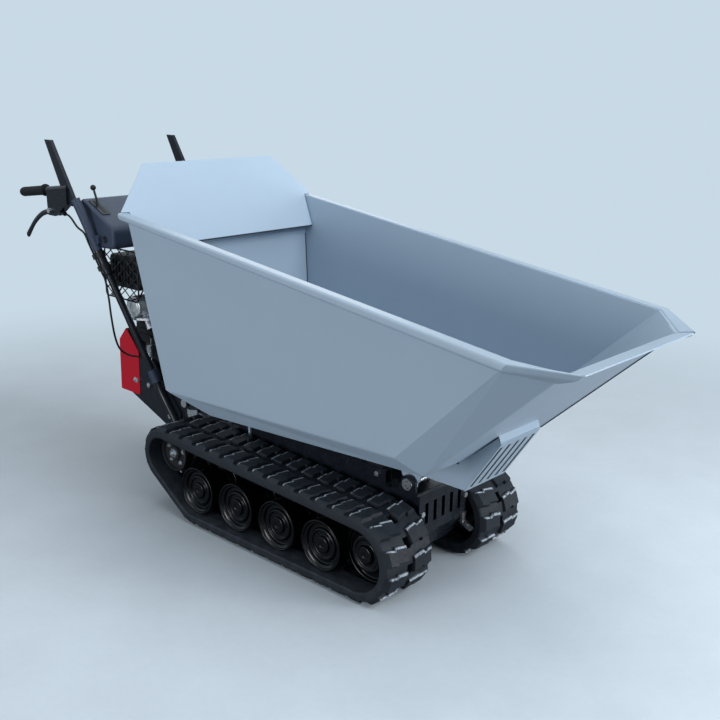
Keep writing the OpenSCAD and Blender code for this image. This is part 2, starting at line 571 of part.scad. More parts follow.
// Levers of the console turn in cheeks about one cross shaft height
lever_axis = [-718, 838];
lever_ys = [-168, 60];
module console() color([0.24, 0.26, 0.29]) difference() {
  union() {
    difference() {
      union() {
        slab(console_side, -console_y, console_y);
        both() box([-716, -213, 760], [-668, -console_y + 2, 786]);
      }
      both() bar_y(-649, 776, 9, -console_y - 1, -console_y + 12);
      slab([[-740, 800], [-766, 872], [-620, 804], [-618, 764], [-686, 756]], -console_y + 12, console_y - 12);
      for (y = lever_ys) box([-758, y - 5, 800], [-684, y + 5, 900]);
    }
    for (y = lever_ys) for (k = [-11, 5]) box([-730, y + k, 828], [-706, y + k + 6, 856]);
  }
  both() rod(bar_mid, bar_top, tube_top_r);
  both() rod(knee, bar_mid + 5 * tube_way, tube_r);
  for (y = lever_ys) bar_y(lever_axis[0], lever_axis[1], 3 + run_gap, y - 12, y + 12);
}
module console_lever(y, points, knob) {
  slab2(y - 3, y + 3) chain2(points, 5);
  bar_y(lever_axis[0], lever_axis[1], 3, y - 10, y + 10);
  p = points[len(points) - 1];
  translate([p[0], y, p[1]]) sphere(knob);
}
module throttle_lever() color([0.06, 0.06, 0.07]) console_lever(lever_ys[0], [lever_axis, [-730, 880], [-750, 925]], 9);
module shift_lever() color([0.06, 0.06, 0.07]) console_lever(lever_ys[1], [lever_axis, [-722, 900], [-730, 968]], 17);

// Engine and drive
module crankcase() color([0.74, 0.75, 0.76]) difference() {
  union() {
    slab2(-66, 66) {
      translate([crank_x, crank_z]) circle(84, $fn = 96);
      round2(crank_x - 84, bed_z, crank_x + 84, crank_z, 10);
      round2(crank_x - 62, crank_z, crank_x + 62, 512, 8);
    }
    slab2(-72, 72) translate([crank_x, crank_z]) circle(62, $fn = 96);
    box([crank_x - 100, -70, bed_z], [crank_x + 100, 70, bed_z + 10]);
    bar_y(-567, 463, 5, -107, -60);
  }
  bar_y(crank_x, crank_z, 11 + run_gap, -80, -20);
}
// Reach of the cooling fins in front of the crankshaft
fin_front = 62;
module cylinder_fins() {
  for (i = [0 : 5]) translate([0, 0, 514 + i * 12]) linear_extrude(7)
    round2(crank_x - 68, -62, crank_x + fin_front, 62, 16);
}
module cylinder_block() {
  translate([0, 0, 512]) linear_extrude(78) round2(crank_x - 50, -48, crank_x + 46, 48, 12);
  cylinder_fins();
}
module muffler() color([0.05, 0.05, 0.05]) {
  difference() {
    slab2(-150, -46) round2(-716, 616, -556, 720, 18);
    for (i = [0 : 8]) box([-702 + i * 16, -152, 632], [-695 + i * 16, -146, 704]);
  }
  box([-630, -60, 590], [-590, -41, 640]);
  rod([-690, -100, 620], [-690, -100, 600], 4);
  rod([-690, -100, 604], [-612, -52, 604], 4);
}
module air_cleaner() color([0.06, 0.06, 0.07]) {
  slab2(-110, 12) round2(-498, 500, -424, 592, 14);
  box([crank_x + fin_front, -30, 530], [-496, 10, 570]);
}
module fuel_tank() color([0.1, 0.1, 0.11]) {
  slab2(-40, 146) round2(-700, 594, -470, 694, 26);
  bar_z(-600, 60, 22, 690, 702);
  box([crank_x - 40, -30, 590], [crank_x + 30, 40, 596]);
}
module bar_z(x, y, r, z0, z1) {
  translate([x, y, z0]) cylinder(r = r, h = z1 - z0);
}
module fuel_cap() color([0.12, 0.12, 0.13]) difference() {
  bar_z(-600, 60, 29, 696, 722);
  bar_z(-600, 60, 22 + run_gap, 690, 702 + run_gap);
  for (a = [0 : 30 : 330]) rotate_at(a) bar_z(-600 + 31, 60, 4, 700, 723);
}
module rotate_at(a) {
  translate([-600, 60, 0]) rotate([0, 0, a]) translate([600, -60, 0]) children();
}
recoil_in = 72;
recoil_out = frame_y - 1.5;
recoil_mid = (recoil_in + recoil_out) / 2;
module recoil_housing() color([0.08, 0.08, 0.09]) {
  difference() {
    slab2(recoil_in, recoil_out) translate([crank_x, crank_z]) circle(88, $fn = 96);
    for (a = [0 : 20 : 340]) translate([crank_x, 0, crank_z]) rotate([0, a, 0])
      box([36, recoil_out - 5, -4], [74, recoil_out + 2, 4]);
  }
  rod([crank_x - 50, recoil_mid, crank_z + 40], [crank_x - 92, recoil_mid, crank_z + 82], 10);
}
starter_dir = [-0.7071, 0, 0.7071];
module starter_handle() color([0.05, 0.05, 0.05]) {
  p = [crank_x - 92, recoil_mid, crank_z + 82] + starter_dir * run_gap;
  rod(p, p + starter_dir * 14, 8);
  rod(p + starter_dir * 14 + [0, -32, 0], p + starter_dir * 14 + [0, 32, 0], 10);
}
module plug_cap() color([0.06, 0.06, 0.06]) {
  rod([crank_x + fin_front + 1.6, 30, 560], [crank_x + fin_front + 26, 30, 564], 8);
  rod([crank_x + fin_front + 20, 30, 563], [crank_x + fin_front + 30, 30, 583], 7);
}
pulley_y = -82;
function groove(r, w) = [[0, -w], [r, -w], [r, 3 - w], [r - 9, -5], [r - 9, 5], [r, w - 3], [r, w], [0, w]];
module engine_pulley() color([0.45, 0.46, 0.47]) {
  translate([crank_x, pulley_y, crank_z]) rotate([90, 0, 0]) rotate_extrude() polygon(groove(pulley_r, 9.5));
  bar_y(crank_x, crank_z, 11, pulley_y, -24);
}
driven = [-386, 395];
module driven_pulley() color([0.45, 0.46, 0.47]) {
  translate([driven[0], pulley_y, driven[1]]) rotate([90, 0, 0]) rotate_extrude() polygon(groove(driven_r, 9.5));
  bar_y(driven[0], driven[1], 12, pulley_y, -34);
}
function arc_points(c, r, a0, a1) = [for (i = [0 : 12]) c + r * unit2(a0 + (a1 - a0) * i / 12)];
module belt_loop2(h, k) {
  p = [crank_x, crank_z];
  ra = (pulley_r - 9 + run_gap) * k + h;
  rb = (driven_r - 9 + run_gap) * k + h;
  up = touch(p, ra, driven, rb);
  low = touch(driven, rb, p, ra) - 360;
  polygon(concat(arc_points(driven, rb, up, low), arc_points(p, ra, low, up - 360)));
}
module drive_belt() color([0.06, 0.06, 0.06]) difference() {
  slab2(pulley_y - 4, pulley_y + 4) belt_loop2(7.5, 1);
  slab2(pulley_y - 5, pulley_y + 5) belt_loop2(0, 1.011);
}
// Tension spring: straight end, curls, straight end, in one unbroken tube
spring_at = [-575, -102.5, 393];
peg_z = 463;
spring_pitch = spring_wire + 1.4;
spring_points = concat(
  [spring_at + [spring_r, 0, -8], spring_at + [spring_r, 0, -spring_wire]],
  [for (i = [0 : spring_turns * 8]) spring_at
    + [spring_r * cos(45 * i), spring_r * sin(45 * i), spring_pitch * i / 8]],
  [spring_at + [spring_r, 0, spring_turns * spring_pitch + spring_wire],
   [spring_at[0] + spring_r, spring_at[1], peg_z - 5]]);
echo(spring_self_gap = spring_pitch - spring_wire);
module belt_spring() color([0.8, 0.8, 0.8]) skin(cord_rings(spring_points, spring_wire / 2, 6));
module rear_cover() color([0.72, 0.1, 0.16]) {
  y = frame_y + plate_t;
  side = [[-735, 252], [-632, 252], [-632, 400], [-698, 465], [-735, 424]];
  both() slab(side, -y - 2, -y);
  box([-736, -y - 2, 252], [-734, y + 2, 425]);
  slab([[-736, 424], [-734, 423], [-696, 465], [-698, 467]], -y - 2, y + 2);
}

module cylinder_node() color([0.7, 0.71, 0.72]) {
  cylinder_block();
  bar_y(crank_x - 35, 560, 34, -138, -60.5);
}

// The middle of the whole length goes to X = 0
module at_centre() {
  translate([centre_x, 0, 0]) children();
}

at_centre() main_frame();
at_centre() front_bumper();
at_centre() tow_tabs();
at_centre() wheel_axles();
at_centre() idler_tensioners();
at_centre() saddle_rails();
at_centre() saddle_pads();
at_centre() hinge_pin();
at_centre() gearbox();
at_centre() zinc_bolts();
at_centre() latch_guide();
at_centre() latch_bolt();
at_centre() latch_catch();
at_centre() track_left();
at_centre() track_right();
at_centre() sprocket_left();
at_centre() sprocket_right();
at_centre() idler_left();
at_centre() idler_right();
at_centre() wheel_left_1();
at_centre() wheel_left_2();
at_centre() wheel_left_3();
at_centre() wheel_left_4();
at_centre() wheel_right_1();
at_centre() wheel_right_2();
at_centre() wheel_right_3();
at_centre() wheel_right_4();
at_centre() tub_shell();
at_centre() tub_rim();
at_centre() headboard();
at_centre() tub_runners();
at_centre() nose_plate();
at_centre() handle_tube_left();
at_centre() handle_tube_right();
at_centre() post_left();
at_centre() post_right();
at_centre() grip_left();
at_centre() grip_right();
at_centre() lever_left();
at_centre() lever_right();
at_centre() cable_left();
at_centre() cable_right();
at_centre() cable_clamps();
at_centre() console();
at_centre() throttle_lever();
at_centre() shift_lever();
at_centre() crankcase();
at_centre() cylinder_node();  // cylinder
at_centre() muffler();
at_centre() air_cleaner();
at_centre() fuel_tank();
at_centre() fuel_cap();
at_centre() recoil_housing();
at_centre() starter_handle();
at_centre() plug_cap();
at_centre() engine_pulley();
at_centre() driven_pulley();
at_centre() drive_belt();
at_centre() belt_spring();
at_centre() rear_cover();
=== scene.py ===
"""Looks of a tracked power carrier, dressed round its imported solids.

Shapes are worked out in the drawing frame of the part, in millimetres: X forward, Y to the left,
Z up, ground at Z = 0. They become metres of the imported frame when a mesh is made.
"""
import logging
import math
from dataclasses import dataclass, field
from enum import Enum
from typing import Callable, Mapping, Optional, Sequence

import bmesh
import bpy
import numpy as np
from mathutils import Matrix


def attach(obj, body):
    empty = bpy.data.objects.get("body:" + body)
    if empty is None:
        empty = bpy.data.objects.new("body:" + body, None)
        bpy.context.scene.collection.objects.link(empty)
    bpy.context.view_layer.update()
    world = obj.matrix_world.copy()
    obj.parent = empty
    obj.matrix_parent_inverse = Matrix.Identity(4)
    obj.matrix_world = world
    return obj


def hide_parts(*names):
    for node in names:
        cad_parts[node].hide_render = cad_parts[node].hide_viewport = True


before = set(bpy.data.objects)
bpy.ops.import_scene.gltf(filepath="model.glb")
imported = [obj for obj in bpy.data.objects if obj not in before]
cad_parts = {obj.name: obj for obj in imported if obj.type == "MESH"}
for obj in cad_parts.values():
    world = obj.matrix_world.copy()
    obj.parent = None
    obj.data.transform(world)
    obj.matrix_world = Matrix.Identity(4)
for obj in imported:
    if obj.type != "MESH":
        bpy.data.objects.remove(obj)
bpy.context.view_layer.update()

Array = np.ndarray
Colour = tuple[float, float, float]
Span = tuple[float, float]
Box = tuple[float, float, float, float]
Node = bpy.types.Node
Socket = bpy.types.NodeSocket
Sockets = Mapping[str, Socket]

LOG = logging.getLogger("carrier")
MM = 0.001
# Place of the drawing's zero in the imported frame, in millimetres.
SHIFT = np.array([-10.35, 0.0, 0.0])
# Points nearer than this become one, in metres.
WELD = 2e-5
COAT_ROUGH = 0.12
# Height of the finest grain, in metres.
BUMP_DEPTH = 0.0006
# Least height of the tread blocks over the ground, in millimetres.
FLOOR_GAP = 0.05
CHASSIS = "chassis"
MIRROR = np.array([1.0, -1.0, 1.0])
ACROSS = np.array([0.0, 1.0, 0.0])
QUARTER = np.pi / 2


class Side(Enum):
    """The two sides of the machine, with the sign of Y."""

    RIGHT = -1
    LEFT = 1

    @property
    def word(self) -> str:
        """The side's name in node and piece names."""
        return self.name.lower()

    @property
    def flip(self) -> float:
        """What Y is multiplied by in a shape drawn for the right-hand side."""
        return -float(self.value)


def vec(*values: float) -> Array:
    """A point or direction as an array."""
    return np.array(values, float)


def pairs(*values: float) -> Array:
    """Numbers two by two, as rows."""
    return vec(*values).reshape(-1, 2)


def triples(*values: float) -> Array:
    """Numbers three by three, as rows."""
    return vec(*values).reshape(-1, 3)


def fixed(values: Array) -> Array:
    """A dataclass field that starts as a copy of an array."""
    return field(default_factory=values.copy)


def unit(v: Array) -> Array:
    """The direction of v, along its last axis."""
    return v / np.maximum(np.linalg.norm(v, axis=-1, keepdims=True), 1e-12)


def circle(angles: Array) -> Array:
    """Cosine and sine of angles, as rows."""
    return np.stack([np.cos(angles), np.sin(angles)], 1)


def square_to(way: Array) -> Array:
    """A direction of the XZ plane turned by a quarter, from Z towards X."""
    return vec(way[2], 0.0, -way[0])


def between(a: Array, b: Array, share: "float | Array") -> Array:
    """The points a + share (b - a), one for each share."""
    return a + np.multiply.outer(share, b - a)


def at_y(outline: Array, y: "float | Array") -> Array:
    """Points of X and Z set at a Y."""
    o = np.asarray(outline, float)
    return np.stack([o[..., 0], np.broadcast_to(y, o.shape[:-1]), o[..., 1]], -1)


def metres(points: Array) -> Array:
    """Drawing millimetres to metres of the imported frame."""
    return (np.asarray(points, float) + SHIFT) * MM


def to_side(points: Array, side: Side) -> Array:
    """Turns points drawn for the right-hand side to the given side by the sign of Y."""
    return np.asarray(points, float) * vec(1.0, side.flip, 1.0)


def rounded(points: Array, radius: float, steps: int = 4, closed: bool = True) -> Array:
    """Rounds the corners of a chain of points.

    Each corner C becomes the curve (1-t)^2 A + 2t(1-t) C + t^2 B, where A and B lie on its two
    edges at the radius from C, or at 0.45 of the edge where that is shorter.

    Args:
        points: corners, k by 2 or 3.
        radius: distance from the corner at which the curve starts.
        steps: points on each curve.
        closed: whether the chain is a loop; an open chain keeps its two ends.

    Returns:
        The rounded chain.
    """
    p = np.asarray(points, float)
    before, after = np.roll(p, 1, 0) - p, np.roll(p, -1, 0) - p
    a, b = (p + unit(d) * np.minimum(radius, 0.45 * np.linalg.norm(d, axis=1))[:, None]
            for d in (before, after))
    t = np.linspace(0.0, 1.0, steps)[None, :, None]
    arcs = (1 - t) ** 2 * a[:, None] + 2 * t * (1 - t) * p[:, None] + t**2 * b[:, None]
    if closed:
        return arcs.reshape(-1, p.shape[1])
    return np.vstack([p[:1], arcs[1:-1].reshape(-1, p.shape[1]), p[-1:]])


def rectangle(u0: float, v0: float, u1: float, v1: float, radius: float = 0.0, steps: int = 5) -> Array:
    """A rectangle from (u0, v0) to (u1, v1), with round corners where a radius is given."""
    corners = pairs(u0, v0, u1, v0, u1, v1, u0, v1)
    return rounded(corners, radius, steps) if radius else corners


def inset(box: Box, gap: float) -> Box:
    """The corners of a rectangle drawn in by a gap on all sides."""
    u0, v0, u1, v1 = box
    return u0 + gap, v0 + gap, u1 - gap, v1 - gap


def smooth_path(points: Array, per: int) -> Array:
    """A curve through points: the cubic whose slope at each point is half of its neighbours' step.

    Args:
        points: k points.
        per: samples between two points.

    Returns:
        (k - 1) * per + 1 points on the curve.
    """
    p = np.asarray(points, float)
    q = np.vstack([2 * p[:1] - p[1:2], p, 2 * p[-1:] - p[-2:-1]])
    t = np.linspace(0.0, 1.0, per, endpoint=False)[None, :, None]
    a, b, c, d = (q[i : len(q) - 3 + i, None] for i in range(4))
    square, cube = 2 * a - 5 * b + 4 * c - d, 3 * b - a - 3 * c + d
    body = 0.5 * (2 * b + (c - a) * t + square * t**2 + cube * t**3)
    return np.vstack([body.reshape(-1, p.shape[1]), p[-1:]])


def spread(points: Array, count: int) -> Array:
    """Points at equal steps of length along a chain.

    Args:
        points: the chain.
        count: number of points wanted.

    Returns:
        The points, count by 2 or 3.
    """
    p = np.asarray(points, float)
    s = np.concatenate([[0.0], np.cumsum(np.linalg.norm(np.diff(p, axis=0), axis=1))])
    at = np.linspace(0.0, s[-1], count)
    return np.stack([np.interp(at, s, p[:, k]) for k in range(p.shape[1])], 1)


def opaque(colour: Colour) -> tuple[float, float, float, float]:
    """A colour with full cover, as a node takes it."""
    return (*colour, 1.0)


def put(name: str, data: bpy.types.ID, axes: Sequence[Array] = ()) -> bpy.types.Object:
    """Makes an object of the scene.

    Args:
        name: its name.
        data: its mesh, lamp or camera.
        axes: the three axes and the place in metres of an object that is turned.

    Returns:
        The object.
    """
    obj = bpy.data.objects.new(name, data)
    bpy.context.scene.collection.objects.link(obj)
    if axes:
        turn = np.eye(4)
        turn[:3] = np.stack(axes, 1)
        obj.matrix_world = Matrix(turn.tolist())
    return obj


class Skin:
    """Gathers surface patches in drawing millimetres and makes one mesh object of them."""

    def __init__(self) -> None:
        """Starts with no patch."""
        self.points: list[Array] = []
        self.marks: list[Array] = []
        self.faces: list[list[int]] = []
        self.count = 0

    def _take(self, p: Array, mark: "float | Array" = 0.0) -> int:
        """Keeps points and their marks of rubbed wear and painted highlight.

        Args:
            p: points, with X, Y and Z along the last axis.
            mark: rubbed wear and painted highlight of each point, or of all.

        Returns:
            The number of the first point.
        """
        first = self.count
        self.points.append(p.reshape(-1, 3))
        self.marks.append(np.broadcast_to(np.asarray(mark, float), p.shape[:-1]).reshape(-1))
        self.count += len(self.points[-1])
        return first

    def _cells(self, *corners: Array) -> None:
        """Adds faces from the numbers of their first, second and further corners."""
        self.faces += np.stack(corners, -1).reshape(-1, len(corners)).tolist()

    def grid(self, p: Array, wrap_u: bool = False, wrap_v: bool = False, ends: bool = False,
             mark: "float | Array" = 0.0) -> None:
        """Adds the sheet p[u, v], one face for each four neighbours.

        Args:
            p: points, u by v by 3.
            wrap_u: joins the last u row to the first.
            wrap_v: joins the last v column to the first.
            ends: closes the first and the last u row with a face.
            mark: rubbed wear and painted highlight, kept in the mesh as the attribute worn.
        """
        m, n = p.shape[:2]
        ids = np.arange(m * n).reshape(m, n) + self._take(p, mark)
        u, v = np.arange(m - (not wrap_u)), np.arange(n - (not wrap_v))
        u1, v1 = (u + 1) % m, (v + 1) % n
        self._cells(ids[np.ix_(u, v)], ids[np.ix_(u1, v)], ids[np.ix_(u1, v1)], ids[np.ix_(u, v1)])
        if ends:
            self.faces += [ids[0, ::-1].tolist(), ids[-1].tolist()]

    def loft(self, rings: Array, mark: "float | Array" = 0.0) -> None:
        """Adds closed rings joined in order, with a face over the first and the last."""
        self.grid(rings, wrap_v=True, ends=True, mark=mark)

    def patch(self, corners: Sequence[Array], nu: int, nv: int, crown: float = 0.0) -> None:
        """Adds a four-sided panel: corners mixed as (1-u)(1-v)a + u(1-v)b + uv c + (1-u)v d.

        Args:
            corners: a, b, c and d.
            nu: cells from a to b.
            nv: cells from a to d.
            crown: height of a shallow bulge sin(pi u) sin(pi v) along the panel's normal.
        """
        a, b, c, d = corners
        u, v = np.meshgrid(np.linspace(0, 1, nu + 1), np.linspace(0, 1, nv + 1), indexing="ij")
        u, v = u[..., None], v[..., None]
        p = (1 - u) * (1 - v) * a + u * (1 - v) * b + u * v * c + (1 - u) * v * d
        normal = unit(np.cross(c - a, d - b))
        self.grid(p + normal * crown * np.sin(np.pi * u) * np.sin(np.pi * v))

    def corner(self, a: Array, b: Array, c: Array, n: int) -> None:
        """Adds a three-sided panel: points a + i/n (b-a) + j/n (c-a) with i + j up to n.

        Args:
            a: first corner.
            b: second corner.
            c: third corner.
            n: cells along a side.
        """
        i, j = np.meshgrid(np.arange(n + 1), np.arange(n + 1), indexing="ij")
        keep = i + j <= n
        p = a + (i[keep] / n)[:, None] * (b - a) + (j[keep] / n)[:, None] * (c - a)
        ids = np.full((n + 1, n + 1), -1)
        ids[keep] = np.arange(keep.sum()) + self._take(p)
        cell = i[:-1, :-1] + j[:-1, :-1]
        k, l = np.nonzero(cell < n)
        self._cells(ids[k, l], ids[k + 1, l], ids[k, l + 1])
        k, l = np.nonzero(cell < n - 1)
        self._cells(ids[k + 1, l], ids[k + 1, l + 1], ids[k, l + 1])

    def prism(self, outline: Array, y0: float, y1: float) -> None:
        """Adds an outline of X and Z carried straight along Y from y0 to y1."""
        self.loft(np.stack([at_y(outline, y0), at_y(outline, y1)]))

    def slab(self, outline: Array, origin: Array, across: Array, up: Array, thick: Array) -> None:
        """Adds a flat outline in the plane of two directions, with a thickness along a third.

        Args:
            outline: k by 2, in units of across and up.
            origin: place of the outline's zero.
            across: first direction.
            up: second direction.
            thick: the whole thickness as a vector.
        """
        o = np.asarray(outline, float)
        flat = origin + o[:, :1] * across + o[:, 1:] * up
        self.loft(np.stack([flat, flat + thick]))

    def box(self, low: Sequence[float], high: Sequence[float]) -> None:
        """Adds a straight block between two corners."""
        (x0, y0, z0), (x1, y1, z1) = low, high
        self.prism(rectangle(x0, z0, x1, z1), y0, y1)

    def soft_box(self, outline: Array, y0: float, y1: float, radius: float,
                 middle: Optional[Array] = None, stations: Sequence[float] = ()) -> None:
        """Adds an outline of X and Z carried along Y, drawn in at both ends as a quarter circle.

        At the way t into the last r of the length, a point lies r - sqrt(r^2 - t^2) nearer the middle.

        Args:
            outline: the outline at full size.
            y0: one end.
            y1: the other end.
            radius: radius of the soft edge.
            middle: the point that the outline is drawn towards; the mean of its corners if left out.
            stations: further places along Y at full size.
        """
        t = np.linspace(0, QUARTER, 6)
        step, drawn = radius - radius * np.cos(t), radius - radius * np.sin(t)
        ys = np.concatenate([y0 + step, stations, (y1 - step)[::-1]])
        pull = np.concatenate([drawn, np.zeros(len(stations)), drawn[::-1]])
        centre = outline.mean(0) if middle is None else middle
        self.loft(at_y(outline - pull[:, None, None] * unit(outline - centre), ys[:, None]))

    def tube(self, path: Array, radius: "float | Array", sides: int, up: Sequence[float],
             flat: float = 1.0, closed: bool = False) -> None:
        """Adds a round or flattened section carried along a path.

        The ring at a path point is path + r (cos a N + flat sin a B), where N is up made square to the
        path and B = path direction cross N.

        Args:
            path: m points.
            radius: one radius, or one for each point.
            sides: points on a ring.
            up: direction that the ring's first point leans to; never along the path.
            flat: share of the radius kept along B.
            closed: whether the path is a loop.
        """
        p, lean = np.asarray(path, float), np.asarray(up, float)
        t = unit(np.roll(p, -1, 0) - np.roll(p, 1, 0) if closed else np.gradient(p, axis=0))
        n = unit(lean - (t @ lean)[:, None] * t)
        b = np.cross(t, n)
        a = np.linspace(0, 2 * np.pi, sides, endpoint=False)[None, :, None]
        r = np.broadcast_to(np.asarray(radius, float), (len(p),))[:, None, None]
        ring = p[:, None] + r * (np.cos(a) * n[:, None] + flat * np.sin(a) * b[:, None])
        self.grid(ring, wrap_u=closed, wrap_v=True, ends=not closed)

    def turned(self, profile: Array, origin: Array, axis: Array, steps: int) -> None:
        """Adds a profile of radius and distance turned about an axis.

        A point (r, h) becomes origin + h axis + r (cos a N + sin a B) with N and B square to the axis.

        Args:
            profile: k by 2, radius and distance along the axis.
            origin: zero of the distance.
            axis: direction of the axis.
            steps: number of points round the axis.
        """
        w = unit(np.asarray(axis, float))
        n = unit(np.cross(w, vec(0.0, 0.0, 1.0) if abs(w[2]) < 0.9 else vec(1.0, 0.0, 0.0)))
        b = np.cross(w, n)
        q = np.asarray(profile, float)
        a = np.linspace(0, 2 * np.pi, steps, endpoint=False)[None, :, None]
        p = origin + q[:, None, 1:] * w + q[:, None, :1] * (np.cos(a) * n + np.sin(a) * b)
        self.grid(p, wrap_v=True)

    def bolt(self, at: Array, axis: Array, radius: float) -> None:
        """Adds a washer, a six-sided head with a domed end and the tip of its thread.

        Args:
            at: middle of the seat.
            axis: direction away from the seat.
            radius: radius over the head's corners.
        """
        w = unit(axis)
        n = unit(np.cross(w, vec(0.3, 0.2, 0.93)))
        head = radius * circle(np.arange(6) * np.pi / 3)
        self.turned(pairs(0, 0, 1.45, 0, 1.5, 0.08, 1.45, 0.2, 0, 0.2) * radius, at, w, 28)
        self.slab(head, at + w * 0.2 * radius, n, np.cross(w, n), w * 0.62 * radius)
        self.turned(pairs(0.82, 0.8, 0.74, 0.9, 0, 0.92) * radius, at, w, 24)
        self.turned(pairs(0.45, 0.88, 0.45, 1.1, 0.38, 1.18, 0, 1.18) * radius, at, w, 20)

    def windows(self, keep: Array, face: Array, back: Array) -> None:
        """Adds a sheet of cells with some of them cut out, as a closed solid.

        Each kept cell has a front and a back face, and a wall stands wherever its neighbour is missing.

        Args:
            keep: m-1 by n-1, true where the sheet is whole.
            face: m by n by 3, front points.
            back: m by n by 3, back points.
        """
        m, n = face.shape[:2]
        f = np.arange(m * n).reshape(m, n) + self._take(np.stack([face, back]))
        k = f + m * n
        i, j = np.nonzero(keep)
        self._cells(f[i, j], f[i + 1, j], f[i + 1, j + 1], f[i, j + 1])
        self._cells(k[i, j], k[i, j + 1], k[i + 1, j + 1], k[i + 1, j])
        wide = np.pad(keep, 1)
        for di, dj, a, b in ((-1, 0, (0, 0), (0, 1)), (1, 0, (1, 1), (1, 0)),
                             (0, -1, (1, 0), (0, 0)), (0, 1, (0, 1), (1, 1))):
            i, j = np.nonzero(keep & ~wide[1 + di : m + di, 1 + dj : n + dj])
            pa, pb = (i + a[0], j + a[1]), (i + b[0], j + b[1])
            self._cells(f[pa], f[pb], k[pb], k[pa])

    def mesh(self, name: str, bevel: float = 0.0, segments: int = 2, fold: float = 40.0,
             crease: float = 38.0, fold_most: float = 181.0) -> bpy.types.Mesh:
        """Makes the mesh: welds doubles, turns faces outwards, rounds folds and marks creases.

        Args:
            name: the mesh's name.
            bevel: distance from a fold at which its rounding starts, in millimetres.
            segments: faces across a rounded fold.
            fold: least angle of an edge that is rounded, in degrees.
            crease: least angle of an edge that stays sharp in the shading, in degrees.
            fold_most: greatest angle of an edge that is rounded, in degrees; below 180, edges
                that touch a face narrower than the rounding stay as they are too.

        Returns:
            The mesh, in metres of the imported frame.
        """
        made = bpy.data.meshes.new(name)
        made.from_pydata(metres(np.vstack(self.points)), [], self.faces)
        worn = made.attributes.new("worn", "FLOAT", "POINT")
        worn.data.foreach_set("value", np.concatenate(self.marks).astype(np.float32))
        bm = bmesh.new()
        bm.from_mesh(made)
        bmesh.ops.remove_doubles(bm, verts=bm.verts, dist=WELD)
        bmesh.ops.dissolve_degenerate(bm, edges=bm.edges, dist=WELD)
        bmesh.ops.recalc_face_normals(bm, faces=bm.faces)
        if bevel > 0:
            least, most = math.radians(fold), math.radians(fold_most)
            short = 1.1 * bevel * MM if fold_most < 180 else 0.0
            edges = [e for e in bm.edges if e.is_manifold and least < e.calc_face_angle(0.0) < most
                     and min(x.calc_length() for v in e.verts for f in v.link_faces for x in f.edges) > short]
            bmesh.ops.bevel(bm, geom=edges, offset=bevel * MM, offset_type="OFFSET", segments=segments,
                            profile=0.5, affect="EDGES", clamp_overlap=True)
            bmesh.ops.remove_doubles(bm, verts=bm.verts, dist=WELD / 4)
        bm.to_mesh(made)
        bm.free()
        made.shade_smooth()
        made.set_sharp_from_angle(angle=math.radians(crease))
        return made

    def piece(self, name: str, body: str, finish: "Finish", replaces: Sequence[str] = (), slot: str = "",
              even: bool = True, **edges: float) -> bpy.types.Object:
        """Makes the object, gives it its finish and lets it ride on a body.

        Args:
            name: the piece's name.
            body: the body that it moves with.
            finish: its surface.
            replaces: solids that it stands for.
            slot: not used.
            even: whether large faces keep their own normals.
            edges: how mesh rounds folds and marks creases.

        Returns:
            The object.
        """
        obj = put(name, self.mesh(name, **edges))
        obj.data.materials.append(finish.material())
        if even:
            obj.modifiers.new("even", "WEIGHTED_NORMAL").keep_sharp = True
        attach(obj, body)
        if replaces:
            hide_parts(*replaces)
        LOG.info("piece %s on %s, %d faces", name, body, len(obj.data.polygons))
        return obj


class Graph:
    """A shader node tree, with short calls that place, join and set its nodes."""

    def __init__(self, tree: bpy.types.NodeTree) -> None:
        """Takes the tree to work on."""
        self.tree = tree

    def add(self, kind: str, **settings: object) -> Node:
        """Places a node.

        Args:
            kind: its kind, without the word ShaderNode.
            settings: its properties by name.

        Returns:
            The node.
        """
        node = self.tree.nodes.new(f"ShaderNode{kind}")
        for key, value in settings.items():
            setattr(node, key, value)
        return node

    def feed(self, node: Node, values: Mapping[object, object]) -> Node:
        """Joins inputs of a node to sockets, or sets them.

        Args:
            node: the node.
            values: a socket, number or colour for each input's name or number.

        Returns:
            The node.
        """
        for key, value in values.items():
            if isinstance(value, Socket):
                self.tree.links.new(value, node.inputs[key])
            else:
                node.inputs[key].default_value = value
        return node

    def math(self, kind: str, *values: object, clamp: bool = False) -> Socket:
        """The result of a Math node fed by numbers or sockets."""
        node = self.add("Math", operation=kind, use_clamp=clamp)
        return self.feed(node, dict(enumerate(values))).outputs[0]

    def noise(self, vector: Socket, scale: object, detail: float = 3.0) -> Socket:
        """The value of a Noise Texture."""
        node = self.feed(self.add("TexNoise"), {"Detail": detail, "Vector": vector, "Scale": scale})
        return node.outputs["Fac"]

    def height(self, vector: Socket) -> Socket:
        """The Z of a vector."""
        return self.feed(self.add("SeparateXYZ"), {0: vector}).outputs[2]

    def tint(self, share: Socket, a: Socket, b: Socket) -> Socket:
        """Colour a, mixed with b by its share."""
        return self.feed(self.add("Mix", data_type="RGBA"), {0: share, 6: a, 7: b}).outputs[2]

    def blend(self, share: Socket, a: Socket, b: Socket) -> Socket:
        """Shader a, mixed with b by its share."""
        return self.feed(self.add("MixShader"), {0: share, 1: a, 2: b}).outputs[0]


